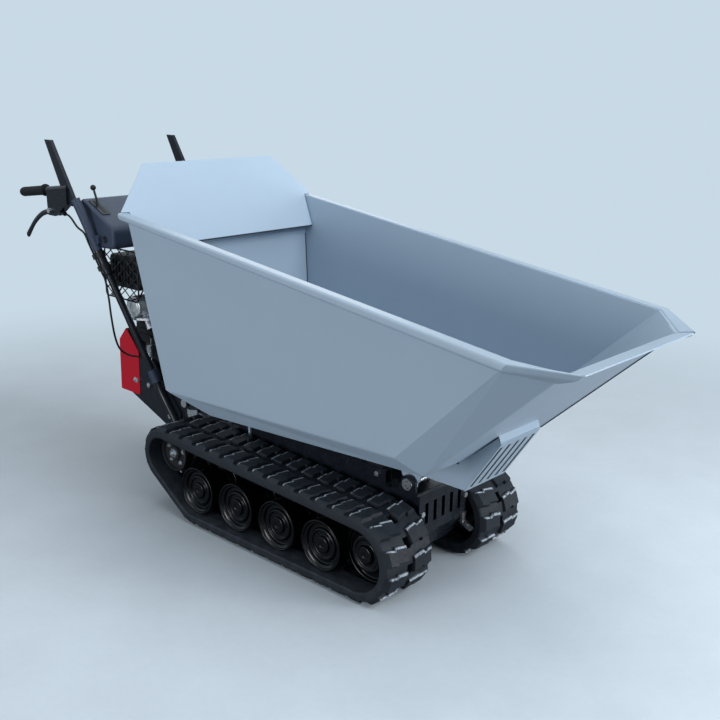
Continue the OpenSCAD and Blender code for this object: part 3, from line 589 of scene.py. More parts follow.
@dataclass(frozen=True)
class Effect:
    """A shared shader node group, built at its first use and placed in many materials."""

    name: str
    takes: Sequence[str]
    gives: Sequence[str]
    fill: Callable[[Graph, Sockets, Node], None]

    def group(self) -> bpy.types.NodeTree:
        """Finds the group, or makes its sockets and lets fill place its nodes.

        Returns:
            The group.
        """
        tree = bpy.data.node_groups.get(self.name)
        if tree is None:
            tree = bpy.data.node_groups.new(self.name, "ShaderNodeTree")
            kinds = {"Vector": "Vector", "Colour": "Color", "Dust": "Color", "Rubbed": "Color"}
            for way, labels in (("INPUT", self.takes), ("OUTPUT", self.gives)):
                for label in labels:
                    kind = f"NodeSocket{kinds.get(label, 'Float')}"
                    tree.interface.new_socket(name=label, in_out=way, socket_type=kind)
            take, give = tree.nodes.new("NodeGroupInput"), tree.nodes.new("NodeGroupOutput")
            self.fill(Graph(tree), take.outputs, give)
        return tree


def fill_drift(g: Graph, take: Sockets, give: Node) -> None:
    """Slow change of tone and gloss: two noises, one broad and one nine times finer.

    Args:
        g: the group's tree.
        take: its inputs.
        give: its output node.
    """
    broad = g.noise(take["Vector"], take["Scale"])
    fine = g.noise(take["Vector"], g.math("MULTIPLY", take["Scale"], 9.0))
    both = g.math("SUBTRACT", g.math("MULTIPLY_ADD", fine, 0.5, broad), 0.75)
    share = g.math("MULTIPLY_ADD", both, take["Amount"], 1.0)
    tone = g.feed(g.add("HueSaturation"), {"Value": share, "Color": take["Colour"]})
    swing = g.math("MULTIPLY", take["Amount"], 1.2)
    rough = g.math("MULTIPLY_ADD", g.math("SUBTRACT", fine, 0.5), swing, take["Gloss"], clamp=True)
    g.feed(give, {"Colour": tone.outputs["Color"], "Roughness": rough})


def fill_grain(g: Graph, take: Sockets, give: Node) -> None:
    """Fine surface height: a noise with a finer one of half its strength.

    Args:
        g: the group's tree.
        take: its inputs.
        give: its output node.
    """
    first = g.noise(take["Vector"], take["Scale"], 2.0)
    second = g.noise(take["Vector"], g.math("MULTIPLY", take["Scale"], 3.1), 2.0)
    g.feed(give, {"Height": g.math("MULTIPLY_ADD", second, 0.5, first)})


def fill_dust(g: Graph, take: Sockets, give: Node) -> None:
    """Pale dust: most near the ground and on faces that look up, broken up by a noise.

    Args:
        g: the group's tree.
        take: its inputs.
        give: its output node.
    """
    low = g.math("SUBTRACT", 1.0, g.math("DIVIDE", g.height(take["Vector"]), take["Reach"]), clamp=True)
    facing = g.height(g.add("NewGeometry").outputs["Normal"])
    up = g.math("MULTIPLY", g.math("MAXIMUM", facing, 0.0), 0.7)
    speck = g.math("MULTIPLY_ADD", g.noise(take["Vector"], 38.0, 5.0), 2.4, -0.75, clamp=True)
    film = g.math("MULTIPLY", g.math("ADD", low, up), speck)
    mask = g.math("MULTIPLY", film, take["Amount"], clamp=True)
    g.feed(give, {"Colour": g.tint(mask, take["Colour"], take["Dust"])})


def fill_rub_highlight(g: Graph, take: Sockets, give: Node) -> None:
    """Rubbed edges with a painted highlight: the piece's own worn attribute, broken up by a noise, mixes in a
    second colour.

    Args:
        g: the group's tree.
        take: its inputs.
        give: its output node.
    """
    cloud = g.math("MULTIPLY_ADD", g.noise(take["Vector"], 90.0, 4.0), 4.2, -1.35)
    mask = g.math("MULTIPLY", cloud, g.math("MULTIPLY", take["Worn"], 1.15), clamp=True)
    g.feed(give, {"Colour": g.tint(mask, take["Colour"], take["Rubbed"])})


DRIFT = Effect("tone_drift", ("Vector", "Colour", "Amount", "Scale", "Gloss"), ("Colour", "Roughness"),
               fill_drift)
GRAIN = Effect("fine_grain", ("Vector", "Scale"), ("Height",), fill_grain)
DUST = Effect("dust_film", ("Vector", "Colour", "Dust", "Amount", "Reach"), ("Colour",), fill_dust)
RUB_HIGHLIGHT = Effect("edge_rub_and_highlight", ("Vector", "Colour", "Rubbed", "Worn"), ("Colour",), fill_rub_highlight)


@dataclass(frozen=True)
class Finish:
    """A surface finish: its colour and gloss, and the strength of each shared effect on it."""

    name: str
    slot: str
    colour: Colour
    rough: float
    metal: float = 0.0
    coat: float = 0.0
    spec: float = 0.5
    drift: float = 0.12
    drift_scale: float = 6.0
    grain: float = 0.08
    grain_scale: float = 600.0
    dust: float = 0.0
    dust_reach: float = 0.4
    dust_colour: Colour = (0.30, 0.33, 0.35)
    rubbed: Optional[Colour] = None

    def material(self) -> bpy.types.Material:
        """The material of this finish, made at its first use."""
        return bpy.data.materials.get(f"look_{self.name}") or self._build()

    def _build(self) -> bpy.types.Material:
        """Makes the material: object coordinates feed the groups, which feed one Principled shader.

        Returns:
            The new material.
        """
        made = bpy.data.materials.new(f"look_{self.name}")
        made.use_nodes = True
        g = Graph(made.node_tree)
        coords = g.add("TexCoord").outputs["Object"]

        def place(effect: Effect, values: dict[str, object]) -> Sockets:
            """The outputs of an effect that is fed the coordinates and its own values."""
            node = g.add("Group", node_tree=effect.group())
            return g.feed(node, {"Vector": coords, **values}).outputs

        tone = place(DRIFT, {"Colour": opaque(self.colour), "Amount": self.drift,
                             "Scale": self.drift_scale, "Gloss": self.rough})
        colour = tone["Colour"]
        if self.dust > 0:
            colour = place(DUST, {"Colour": colour, "Dust": opaque(self.dust_colour),
                                  "Amount": self.dust, "Reach": self.dust_reach})["Colour"]
        if self.rubbed:
            mark = g.add("Attribute", attribute_name="worn").outputs["Fac"]
            colour = place(RUB_HIGHLIGHT, {"Colour": colour, "Rubbed": opaque(self.rubbed), "Worn": mark})["Colour"]
        fine = place(GRAIN, {"Scale": self.grain_scale})["Height"]
        bump = g.feed(g.add("Bump"), {"Strength": self.grain, "Distance": BUMP_DEPTH, "Height": fine})
        g.feed(g.tree.nodes["Principled BSDF"], {
            "Base Color": colour, "Roughness": tone["Roughness"], "Metallic": self.metal,
            "Specular IOR Level": self.spec, "Coat Weight": self.coat, "Coat Roughness": COAT_ROUGH,
            "Normal": bump.outputs["Normal"]})
        return made


TUB = Finish("tub_paint", "tub_grey", (0.345, 0.445, 0.55), 0.36, coat=0.10, spec=0.4, drift=0.07,
             drift_scale=2.5, grain=0.10, grain_scale=900.0)
# Painted light: the tub's grey paint made lighter for the headboard, whose face towards the front is lit.
LIT_BOARD = Finish("board_paint_lit", "tub_grey", (0.41, 0.535, 0.66), 0.34, coat=0.10, spec=0.4, drift=0.06,
               drift_scale=2.5, grain=0.10, grain_scale=900.0)
# Dark sealant for the tub's corner joints; also painted shade, as dark strips under the headboard's edge and
# in the console's lever slots, and a dark strip along the ramp's far edge.
SEAM_AND_SHADE = Finish("seam_sealant_and_shade", "black_rubber", (0.028, 0.034, 0.042), 0.7, spec=0.2, drift=0.3,
              drift_scale=40.0, grain=0.3)
BLACK = Finish("frame_gloss", "frame_black", (0.007, 0.010, 0.016), 0.24, coat=0.1, spec=0.25, drift=0.2,
               drift_scale=8.0, grain=0.12, grain_scale=500.0, dust=0.05, dust_reach=0.5)
SATIN = Finish("casting_satin", "gearbox_black", (0.008, 0.0088, 0.011), 0.46, spec=0.2, drift=0.25,
               grain=0.5, grain_scale=420.0, dust=0.06)
ZINC = Finish("zinc_plate", "zinc", (0.66, 0.69, 0.72), 0.30, metal=1.0, drift=0.22, drift_scale=30.0,
              grain=0.15, grain_scale=1500.0)
STEEL = Finish("turned_steel", "axle_steel", (0.28, 0.285, 0.29), 0.36, metal=1.0, drift=0.2,
               drift_scale=25.0)
PULLEY = Finish("pulley_steel", "pulley_steel", (0.045, 0.047, 0.052), 0.38, metal=0.7, drift=0.2,
                drift_scale=25.0)
# Moulded rubber for pads, grips, plug cap and belt; also painted shade, as the dark sheet behind the nose
# grille's slots.
RUBBER_AND_SHADE = Finish("moulded_rubber_and_shade", "black_rubber", (0.008, 0.0085, 0.010), 0.62, spec=0.2, drift=0.2,
                drift_scale=20.0, grain=0.45, grain_scale=700.0)
# Painted highlight: the lighter colour on the blocks' trailing edges is partly rubbed wear and partly the
# light on their lit faces.
TREAD = Finish("tread_rubber", "track_rubber", (0.013, 0.017, 0.024), 0.58, spec=0.22, drift=0.35,
               drift_scale=14.0, grain=0.5, grain_scale=260.0, dust=0.14, dust_reach=0.16,
               dust_colour=(0.13, 0.16, 0.19), rubbed=(0.40, 0.47, 0.54))
IRON = Finish("sprocket_iron", "sprocket_iron", (0.022, 0.0235, 0.027), 0.5, metal=0.35, spec=0.3,
              drift=0.35, drift_scale=30.0, grain=0.6, grain_scale=300.0)
WHEEL = Finish("wheel_black", "wheel_black", (0.002, 0.0025, 0.0036), 0.16, coat=0.10, spec=0.22,
               drift=0.10, drift_scale=16.0, grain=0.02, grain_scale=350.0)
CABLE = Finish("cable_sheath", "cable_black", (0.008, 0.0085, 0.010), 0.42, spec=0.25, drift=0.15,
               drift_scale=30.0)
# Slate of the console; also a painted bluish sheen on the upper handlebar tubes and their clamp sleeves.
SLATE = Finish("console_slate", "console_slate", (0.038, 0.055, 0.092), 0.46, spec=0.25, drift=0.10,
               drift_scale=5.0, grain=0.35, grain_scale=1400.0)
KNOB = Finish("knob_black", "knob_black", (0.009, 0.011, 0.015), 0.35, spec=0.25, drift=0.15,
              drift_scale=20.0)
ALLOY = Finish("cast_alloy", "engine_alloy", (0.70, 0.73, 0.76), 0.42, metal=0.75, drift=0.22,
               drift_scale=18.0, grain=0.5, grain_scale=380.0)
HEAT = Finish("heat_black", "muffler_black", (0.010, 0.0105, 0.0115), 0.55, spec=0.25, drift=0.35,
              drift_scale=22.0, grain=0.35, grain_scale=500.0)
ENAMEL = Finish("tank_enamel", "tank_black", (0.010, 0.0105, 0.012), 0.25, coat=0.12, spec=0.25, drift=0.15)
RED = Finish("cover_red", "cover_red", (0.48, 0.006, 0.022), 0.34, coat=0.06, spec=0.2, drift=0.16,
             drift_scale=7.0, grain=0.12, grain_scale=700.0)
FLOOR = Finish("pale_floor", "", (0.56, 0.64, 0.71), 0.75, spec=0.2, drift=0.14, drift_scale=5.0,
               grain=0.2, grain_scale=160.0)


def show(finish: Finish, *nodes: str) -> None:
    """Gives solids that stay in view their finish.

    Args:
        finish: the surface.
        nodes: names of the solids.
    """
    for node in nodes:
        slots = bpy.data.objects[node].data.materials
        slots.clear()
        slots.append(finish.material())
        LOG.info("solid %s in %s", node, finish.name)


@dataclass
class Stage:
    """The pale floor, the soft lamps and the camera of the photograph's angle."""

    lens: float = 50.86
    eye: Array = fixed(vec(2.03165, -1.999, 1.302))
    azimuth: float = 41.95
    elevation: float = 15.98
    roll: float = 1.17
    pale: Colour = (0.58, 0.70, 0.79)
    haze: Colour = (0.93, 0.97, 1.0)
    haze_strength: float = 0.26
    lamp_colour: Colour = (0.97, 0.985, 1.0)
    floor_half: float = 30.0
    floor_lines: int = 13
    fade_from: float = 1.3
    fade_to: float = 3.2
    floor_dim: float = 0.6

    def build(self) -> None:
        """Makes camera, world, floor and lamps."""
        self._camera()
        self._world()
        self._floor()
        self._lamp("lamp_top", vec(0.7, 0.0, 4.4), vec(0.0, 0.0, 0.3), 4.0, 80.0)
        self._lamp("lamp_front", vec(3.9, 0.4, 3.8), vec(0.0, 0.0, 0.7), 2.6, 124.0)
        self._lamp("lamp_side", vec(-0.1, -4.3, 1.0), vec(0.1, 0.0, 0.55), 1.7, 77.0)
        self._lamp("lamp_low", vec(3.0, 1.2, 0.48), vec(0.7, 0.0, 0.5), 0.8, 46.0)
        self._lamp("lamp_back", vec(-3.4, 3.2, 3.2), vec(0.0, 0.0, 0.5), 2.6, 34.0)

    def _camera(self) -> None:
        """Places the camera: forward, right and up follow from azimuth, elevation and roll."""
        az, el, ro = (math.radians(v) for v in (self.azimuth, self.elevation, self.roll))
        ahead = vec(-math.sin(az) * math.cos(el), math.cos(az) * math.cos(el), -math.sin(el))
        flat = vec(math.cos(az), math.sin(az), 0.0)
        tall = np.cross(flat, ahead)
        right = math.cos(ro) * flat + math.sin(ro) * tall
        up = math.cos(ro) * tall - math.sin(ro) * flat
        data = bpy.data.cameras.new("camera")
        data.sensor_width, data.lens = 36.0, self.lens
        data.clip_start, data.clip_end = 0.05, 200.0
        bpy.context.scene.camera = put("camera", data, (right, up, -ahead, self.eye))

    @staticmethod
    def _seen(g: Graph) -> Socket:
        """A socket that is 1 for rays of the camera, mirrors and glass, and 0 for rays that light.

        Args:
            g: the tree that it is placed in.

        Returns:
            The socket.
        """
        path = g.add("LightPath").outputs
        seen = g.math("ADD", path["Is Camera Ray"], path["Is Glossy Ray"], clamp=True)
        return g.math("ADD", seen, path["Is Transmission Ray"], clamp=True)

    def _world(self) -> None:
        """A pale surround that the camera and mirrors see, and a softer one that lights the object."""
        world = bpy.data.worlds.new("surround")
        bpy.context.scene.world = world
        world.use_nodes = True
        world.node_tree.nodes.clear()
        g = Graph(world.node_tree)
        dim, bright = (g.feed(g.add("Background"), {"Color": opaque(colour), "Strength": power}).outputs[0]
                       for colour, power in ((self.haze, self.haze_strength), (self.pale, 1.0)))
        g.feed(g.add("OutputWorld"), {"Surface": g.blend(self._seen(g), dim, bright)})

    def _floor(self) -> None:
        """A wide flat floor: a grid of points at Z = 0, with a faint cloud of tone.

        Away from the machine it turns into the colour of the surround: the share of that colour rises
        from 0 to 1 between two radii, for rays that are seen only. Other rays than the camera's
        find it less than half as bright.
        """
        n = self.floor_lines
        a = np.linspace(-self.floor_half, self.floor_half, n)
        x, y = np.meshgrid(a, a, indexing="ij")
        ids = np.arange(n * n).reshape(n, n)
        quads = np.stack([ids[:-1, :-1], ids[1:, :-1], ids[1:, 1:], ids[:-1, 1:]], -1).reshape(-1, 4)
        mesh = bpy.data.meshes.new("floor")
        mesh.from_pydata(np.stack([x, y, 0 * x], -1).reshape(-1, 3), [], quads.tolist())
        obj = put("floor", mesh)
        mesh.materials.append(FLOOR.material())
        g = Graph(FLOOR.material().node_tree)
        far = g.feed(g.add("VectorMath", operation="LENGTH"), {0: g.add("TexCoord").outputs["Object"]})
        fade = g.feed(g.add("MapRange", interpolation_type="SMOOTHSTEP"), {
            "From Min": self.fade_from, "From Max": self.fade_to, "Value": far.outputs["Value"]})
        share = g.math("MULTIPLY", fade.outputs["Result"], self._seen(g))
        glow = g.feed(g.add("Emission"), {"Color": opaque(self.pale)}).outputs[0]
        mixed = g.blend(share, g.tree.nodes["Principled BSDF"].outputs[0], glow)
        soot = g.feed(g.add("BsdfDiffuse"), {"Color": (0.02, 0.02, 0.02, 1.0)}).outputs[0]
        eye = g.add("LightPath").outputs["Is Camera Ray"]
        hidden = g.math("MULTIPLY_ADD", eye, -self.floor_dim, self.floor_dim)
        g.feed(g.tree.nodes["Material Output"], {"Surface": g.blend(hidden, mixed, soot)})

    def _lamp(self, name: str, eye: Array, aim: Array, size: float, power: float) -> None:
        """Makes one square soft lamp that looks at a point.

        Args:
            name: the lamp's name.
            eye: its place in metres.
            aim: the point it looks at.
            size: its width in metres.
            power: its strength in watts.
        """
        data = bpy.data.lights.new(name, "AREA")
        data.size, data.energy, data.color = size, power, self.lamp_colour
        back = unit(eye - aim)
        right = unit(np.cross(vec(0.0, 0.0, 1.0), back))
        put(name, data, (right, np.cross(back, right), back, eye)).visible_camera = False


@dataclass
class Tub:
    """The tipping tub: folded shell, rolled rim, lip, headboard and nose grille."""

    body: str = "tub"
    cells: int = 12
    crown: float = 1.5
    sheet: float = 4.0
    outer: Array = fixed(triples(
        -325, 345, 905, 949, 328, 741, 1035, 250, 714, -240, 294, 397, 625, 297, 432, -98, 250, 345,
        679, 250, 386))
    inner: Array = fixed(triples(
        -321, 341.4, 905, 946.5, 324, 741, 1031, 245.2, 714, -235.5, 290, 399.5, 624, 293, 434.5,
        -97, 248.5, 349, 677, 248.5, 390))
    rim_ring: Array = fixed(pairs(
        -0.04, 0.1, 0, -0.1, 0.86, -0.08, 1, 0.05, 1, 0.46, 0.86, 0.58, 0.12, 0.84, 0, 0.84))
    rim_outs: Array = fixed(triples(0, 29, 0, 8, 29, 0, 42, 6, 8))
    rim_downs: Array = fixed(triples(4.5, -2.8, -28, -25, 3, -32, -26, 2.8, -28))
    lip_at: Array = fixed(vec(1035, 0, 714.2))
    lip_half: float = 254.0
    lip_sheet: float = 3.8
    board_low: Array = fixed(vec(-274.5, 0, 813))
    board_high: Array = fixed(vec(-381.5, 0, 1030))
    board_half: Array = fixed(vec(330, 339, 339, 367, 244))
    wing_z: float = 907.0
    board_shade_half: float = 329.0
    corner_seam: float = 2.2
    ramp_strip_r: float = 3.0
    nose_low: Array = fixed(vec(676, 0, 302))
    nose_high: Array = fixed(vec(776, 0, 452))
    nose_y: float = 85.0
    slot_step: float = 35.0
    slot_w: float = 12.0
    nose_fold: Array = fixed(pairs(777, 453.5, 770, 470.5, 766.5, 468, 774, 452))
    rivet_at: Array = fixed(vec(691, 403.7))
    rivet: Array = fixed(pairs(0, 3.2, 2.6, 2.9, 4.8, 1.7, 5.8, 0, 0, 0))

    def build(self) -> None:
        """Makes every piece of the tub."""
        self._shell()
        self._rim()
        self._board()
        self._seams()
        self._nose()
        show(TUB, "tub_runners", "latch_catch")

    def _wall(self, skin: Skin, p: Array) -> None:
        """Adds one surface of the shell from its seven corners of the left side and their mirror images.

        Args:
            skin: where the panels go.
            p: the corners: rear rim, rim bend, lip, side rear, side front, floor rear, floor front.
        """
        n, q = self.cells, p * MIRROR
        for side, crown in ((p, -self.crown), (q, self.crown)):
            skin.patch(side[[0, 1, 4, 3]], n, n, crown)
            for three in ((1, 6, 4), (1, 2, 6), (3, 4, 6), (3, 6, 5)):
                skin.corner(*side[list(three)], n)
        for a, b in ((0, 3), (3, 5), (5, 6), (6, 2)):
            skin.patch((p[a], p[b], q[b], q[a]), n, n)

    def _shell(self) -> None:
        """The folded sheet, with a rounded bend along each fold and a plain upper edge."""
        skin, o, i = Skin(), self.outer, self.inner
        self._wall(skin, o)
        self._wall(skin, i)
        for a, b in ((0, 1), (1, 2)):
            for f in (1.0, MIRROR):
                skin.patch((o[a] * f, o[b] * f, i[b] * f, i[a] * f), self.cells, 1)
        for k in (0, 2):
            skin.patch((o[k], o[k] * MIRROR, i[k] * MIRROR, i[k]), self.cells, 1)
        skin.piece("tub_body", self.body, TUB, ["tub_shell"], bevel=5.0, segments=4, fold=33.0, crease=10.5,
                   fold_most=76.0)

    def _rim(self) -> None:
        """The rolled rim: a ring with a flat top and an upright face over three stations, and the lip.

        A ring point is P + a O + b D, with the station's corner P, its outward width O and downward depth D.
        """
        ring = rounded(self.rim_ring, 0.12, 5)
        t = np.concatenate([np.linspace(0, 1, 13), np.linspace(1, 2, 7)[1:]])
        at, out, down = (np.stack([np.interp(t, [0, 1, 2], v[:, k]) for k in range(3)], 1)[:, None]
                         for v in (self.outer[:3], self.rim_outs, self.rim_downs))
        p = at + ring[None, :, :1] * out + ring[None, :, 1:] * down
        skin = Skin()
        for side in Side:
            skin.loft(p * vec(1, side.value, 1))
        along = unit(self.rim_outs[2] * vec(1, 0, 1))
        lip = rectangle(-self.lip_half, -6, self.lip_half, 41.4, 14, 6)
        skin.slab(lip, self.lip_at, ACROSS, along, self.lip_sheet * square_to(along))
        skin.piece("rim_roll", self.body, TUB, ["tub_rim"], bevel=1.0)

    def _board(self) -> None:
        """The headboard: a flat sheet with cut upper corners and wings over the side walls, in a lighter copy
        of the tub paint that paints the light on its forward face.
        """
        d = self.board_high - self.board_low
        up, tall = unit(d), float(np.linalg.norm(d))
        wing = tall * (self.wing_z - self.board_low[2]) / d[2]
        half = np.stack([self.board_half, vec(0, wing - 3, wing, wing + 1, tall)], 1)
        outline = np.vstack([half, half[::-1] * vec(-1, 1)])
        skin = Skin()
        skin.slab(rounded(outline, 5, 4), self.board_low, ACROSS, up, self.sheet * square_to(up))
        skin.piece("head_sheet", self.body, LIT_BOARD, ["headboard"], bevel=1.4, segments=3)

    def _seams(self) -> None:
        """Dark strips: painted shade under the headboard's edge, sealed joints up both rear corners and a
        dark strip along the far ramp edge.
        """
        up = unit(self.board_high - self.board_low)
        skin = Skin()
        # Painted shade: a thin dark strip under the headboard's lower edge stands for the shadow of the gap
        # where it stands off the rear wall.
        under = rectangle(-self.board_shade_half, -3.5, self.board_shade_half, 0.5)
        skin.slab(under, self.board_low, ACROSS, up, 3.0 * square_to(up))
        rear = between(self.inner[0], self.inner[3], np.linspace(0.24, 1.0, 12))
        for f in (1.0, MIRROR):
            skin.tube(rear * f, self.corner_seam, 8, (1, 0, 0.1))
        # A thin dark strip along the far edge of the ramp's underside.
        ramp = between(self.outer[6], self.outer[2], np.linspace(0.0, 0.95, 14))
        skin.tube(ramp + vec(0, -1.5, 0.5), self.ramp_strip_r, 8, (0, 1, 0.1))
        skin.piece("tub_seams_and_shade", self.body, SEAM_AND_SHADE)

    def _nose(self) -> None:
        """The grille under the ramp: a sheet with five slots, its folded edge, a dark sheet behind the slots
        that paints the shade seen through them, and a rivet.
        """
        d, half = self.nose_high - self.nose_low, self.nose_y
        along, tall = unit(d), float(np.linalg.norm(d))
        depth = self.sheet * square_to(along)
        us = vec(0, 10, 16, tall - 22, tall - 16, tall)
        mids = np.arange(-2, 3) * self.slot_step
        vs = np.sort(np.concatenate([[-half, half], mids - self.slot_w / 2, mids + self.slot_w / 2]))
        keep = np.ones((len(us) - 1, len(vs) - 1), bool)
        keep[1:4, 1::2] = False
        u, v = np.meshgrid(us, vs, indexing="ij")
        face = self.nose_low + u[..., None] * along + v[..., None] * ACROSS
        skin = Skin()
        skin.windows(keep, face, face + depth)
        edge = rectangle(-half, tall - 13, half, tall, 2)
        skin.slab(edge, self.nose_low - 0.4 * depth, ACROSS, along, 0.5 * depth)
        skin.prism(self.nose_fold, -half, half)
        skin.piece("nose_grille", self.body, TUB, ["nose_plate"], bevel=0.6)
        # Painted shade: a dark sheet just behind the slots stands for the shade inside the grille.
        dark = Skin()
        behind = rectangle(2 - half, 4, half - 2, tall - 14)
        dark.slab(behind, self.nose_low + 0.1 * depth, ACROSS, along, 0.6 * depth)
        dark.piece("nose_slot_shade", self.body, RUBBER_AND_SHADE)
        rivet = Skin()
        rivet.turned(self.rivet, at_y(self.rivet_at, -half), -ACROSS, 24)
        rivet.piece("runner_rivet", self.body, ZINC)


@dataclass
class RubberTrack:
    """One rubber track: a carcass with holes for the sprocket teeth and two staggered rows of blocks."""

    side: Side
    circles: Array = fixed(triples(-288.5, 177.5, 57.3, 494, 117.3, 84.3, -150, 103.3, 70.3))
    middle: float = 197.0
    half_w: float = 90.0
    top: float = 33.0
    cord: float = 10.5
    links: int = 35
    block: float = 44.0
    slant: float = 6.0

    def build(self) -> None:
        """Makes the track as one piece."""
        skin = Skin()
        self._carcass(skin)
        self._blocks(skin)
        skin.piece(f"rubber_track_{self.side.word}", CHASSIS, TREAD, [f"track_{self.side.word}"], crease=32.0)

    def _route(self) -> tuple[Array, Array, Array]:
        """Lengths and angles of the three runs and three bends.

        Returns:
            The lengths in order, the starting angle of each bend or run, and the circle that each belongs to.
        """
        c = self.circles
        nxt = np.roll(c, -1, 0)
        d, less = nxt[:, :2] - c[:, :2], c[:, 2] - nxt[:, 2]
        far = np.linalg.norm(d, axis=1)
        turn = np.arctan2(d[:, 1], d[:, 0]) + np.arccos(less / far)
        run = np.sqrt(far**2 - less**2)
        sweep = (turn - np.roll(turn, -1)) % (2 * np.pi)
        bend = (nxt[:, 2] + self.cord) * sweep
        return np.stack([run, bend], 1).reshape(-1), np.repeat(turn, 2), np.repeat(np.arange(3), 2)

    def frame_at(self, link: Array) -> tuple[Array, Array]:
        """Place on the inside of the track and outward direction, at numbers of links along it.

        With the length s counted at the cords, the place on a run is C + r N + s T, and on a bend the
        angle falls by s over (r + cord height).

        Args:
            link: numbers of links along the track.

        Returns:
            Points and normals, each n by 2 in X and Z.
        """
        lengths, angles, owner = self._route()
        ends = np.cumsum(lengths)
        s = np.mod(link * (ends[-1] / self.links), ends[-1])
        k = np.searchsorted(ends, s, side="right")
        rest = s - np.concatenate([[0.0], ends])[k]
        bends = k % 2 == 1
        ring = self.circles[np.where(bends, (owner[k] + 1) % 3, owner[k])]
        a = angles[k] - np.where(bends, rest / (ring[:, 2] + self.cord), 0.0)
        normal = circle(a)
        along = normal[:, ::-1] * vec(1, -1) * np.where(bends, 0.0, rest)[:, None]
        return ring[:, :2] + ring[:, 2:] * normal + along, normal

    def _carcass(self, skin: Skin) -> None:
        """The belt: heights over the inside as a function of length and width, with a hole at each link.

        Args:
            skin: where the patches go.
        """
        inside = vec(0.0, 0.14, 0.29, 0.5, 0.71, 0.86)
        us = np.append((np.arange(self.links)[:, None] + inside).reshape(-1), self.links) + 0.19
        w = self.half_w
        half = triples(w, 12, 3, w - 2, 21, 0.8, w - 6, 24, 0, 60, 24.5, 0, 26, 25, 0, 24, 26, 8.6,
                       10, 26.5, 9)
        vs, top, low = np.vstack([half * vec(-1, 1, 1), half[::-1]]).T
        keep = np.ones((len(us) - 1, len(vs) - 1), bool)
        keep[2::6, 6] = keep[3::6, 6] = False
        at, normal = self.frame_at(us)
        face, back = (to_side(at_y(at[:, None] + h[:, None] * normal[:, None], vs - self.middle), self.side)
                      for h in (top, low))
        skin.windows(keep, face, back)

    def _blocks(self, skin: Skin) -> None:
        """Tread blocks: rings of ten points from the carcass to a chamfered top, turned to their place.

        Args:
            skin: where the patches go.
        """
        a, b, h = self.block / 2, self.slant, self.top

        def ring(cut: float, near: float, far: float, height: float, worn: float) -> Array:
            """Ten points of one ring of a block.

            Args:
                cut: by how much its half length is shorter than the block's.
                near: distance from the track's middle at which it starts.
                far: distance from the track's middle at which it ends.
                height: its height over the inside of the track.
                worn: rubbed wear and painted highlight along the end that faces back along the track.

            Returns:
                Along, across, height and wear of each point.
            """
            c, m, n = a - cut, self.half_w / 2 + 3, self.half_w / 2 + 6
            along = vec(b - c, b - c + 5, b + c, c, b + c, c, 5 - c, -c, b - c, -c)
            across = vec(near, near, near, m, n, far, far, far, n, m)
            mark = worn * vec(1, 0, 0, 0, 0, 0, 0, 1, 1, 1)
            return np.stack([along, across, np.full(10, height), mark], 1)

        rings = np.stack([ring(-2.0, 10.2, 89, 9, 0), ring(-1.0, 10.4, 89, 18, 0),
                          ring(0.6, 11, 83, h - 6, 0), ring(1.2, 11.6, 79, h - 2, 1.0),
                          ring(2.6, 12.6, 77, h, 1.0), ring(5.4, 14, 75, h, 1.0),
                          ring(7.4, 15.5, 73, h, 0)])
        for shift, way in ((0.94, -1.0), (0.44, 1.0)):
            at, normal = (v[:, None, None] for v in self.frame_at(np.arange(self.links) + shift))
            flat = at + rings[..., 2:3] * normal + rings[..., :1] * normal[..., ::-1] * vec(1, -1)
            p = at_y(flat, way * rings[..., 1] - self.middle)
            p[..., 2] = np.maximum(p[..., 2], FLOOR_GAP)
            for one in to_side(p, self.side):
                skin.loft(one, rings[..., 3])


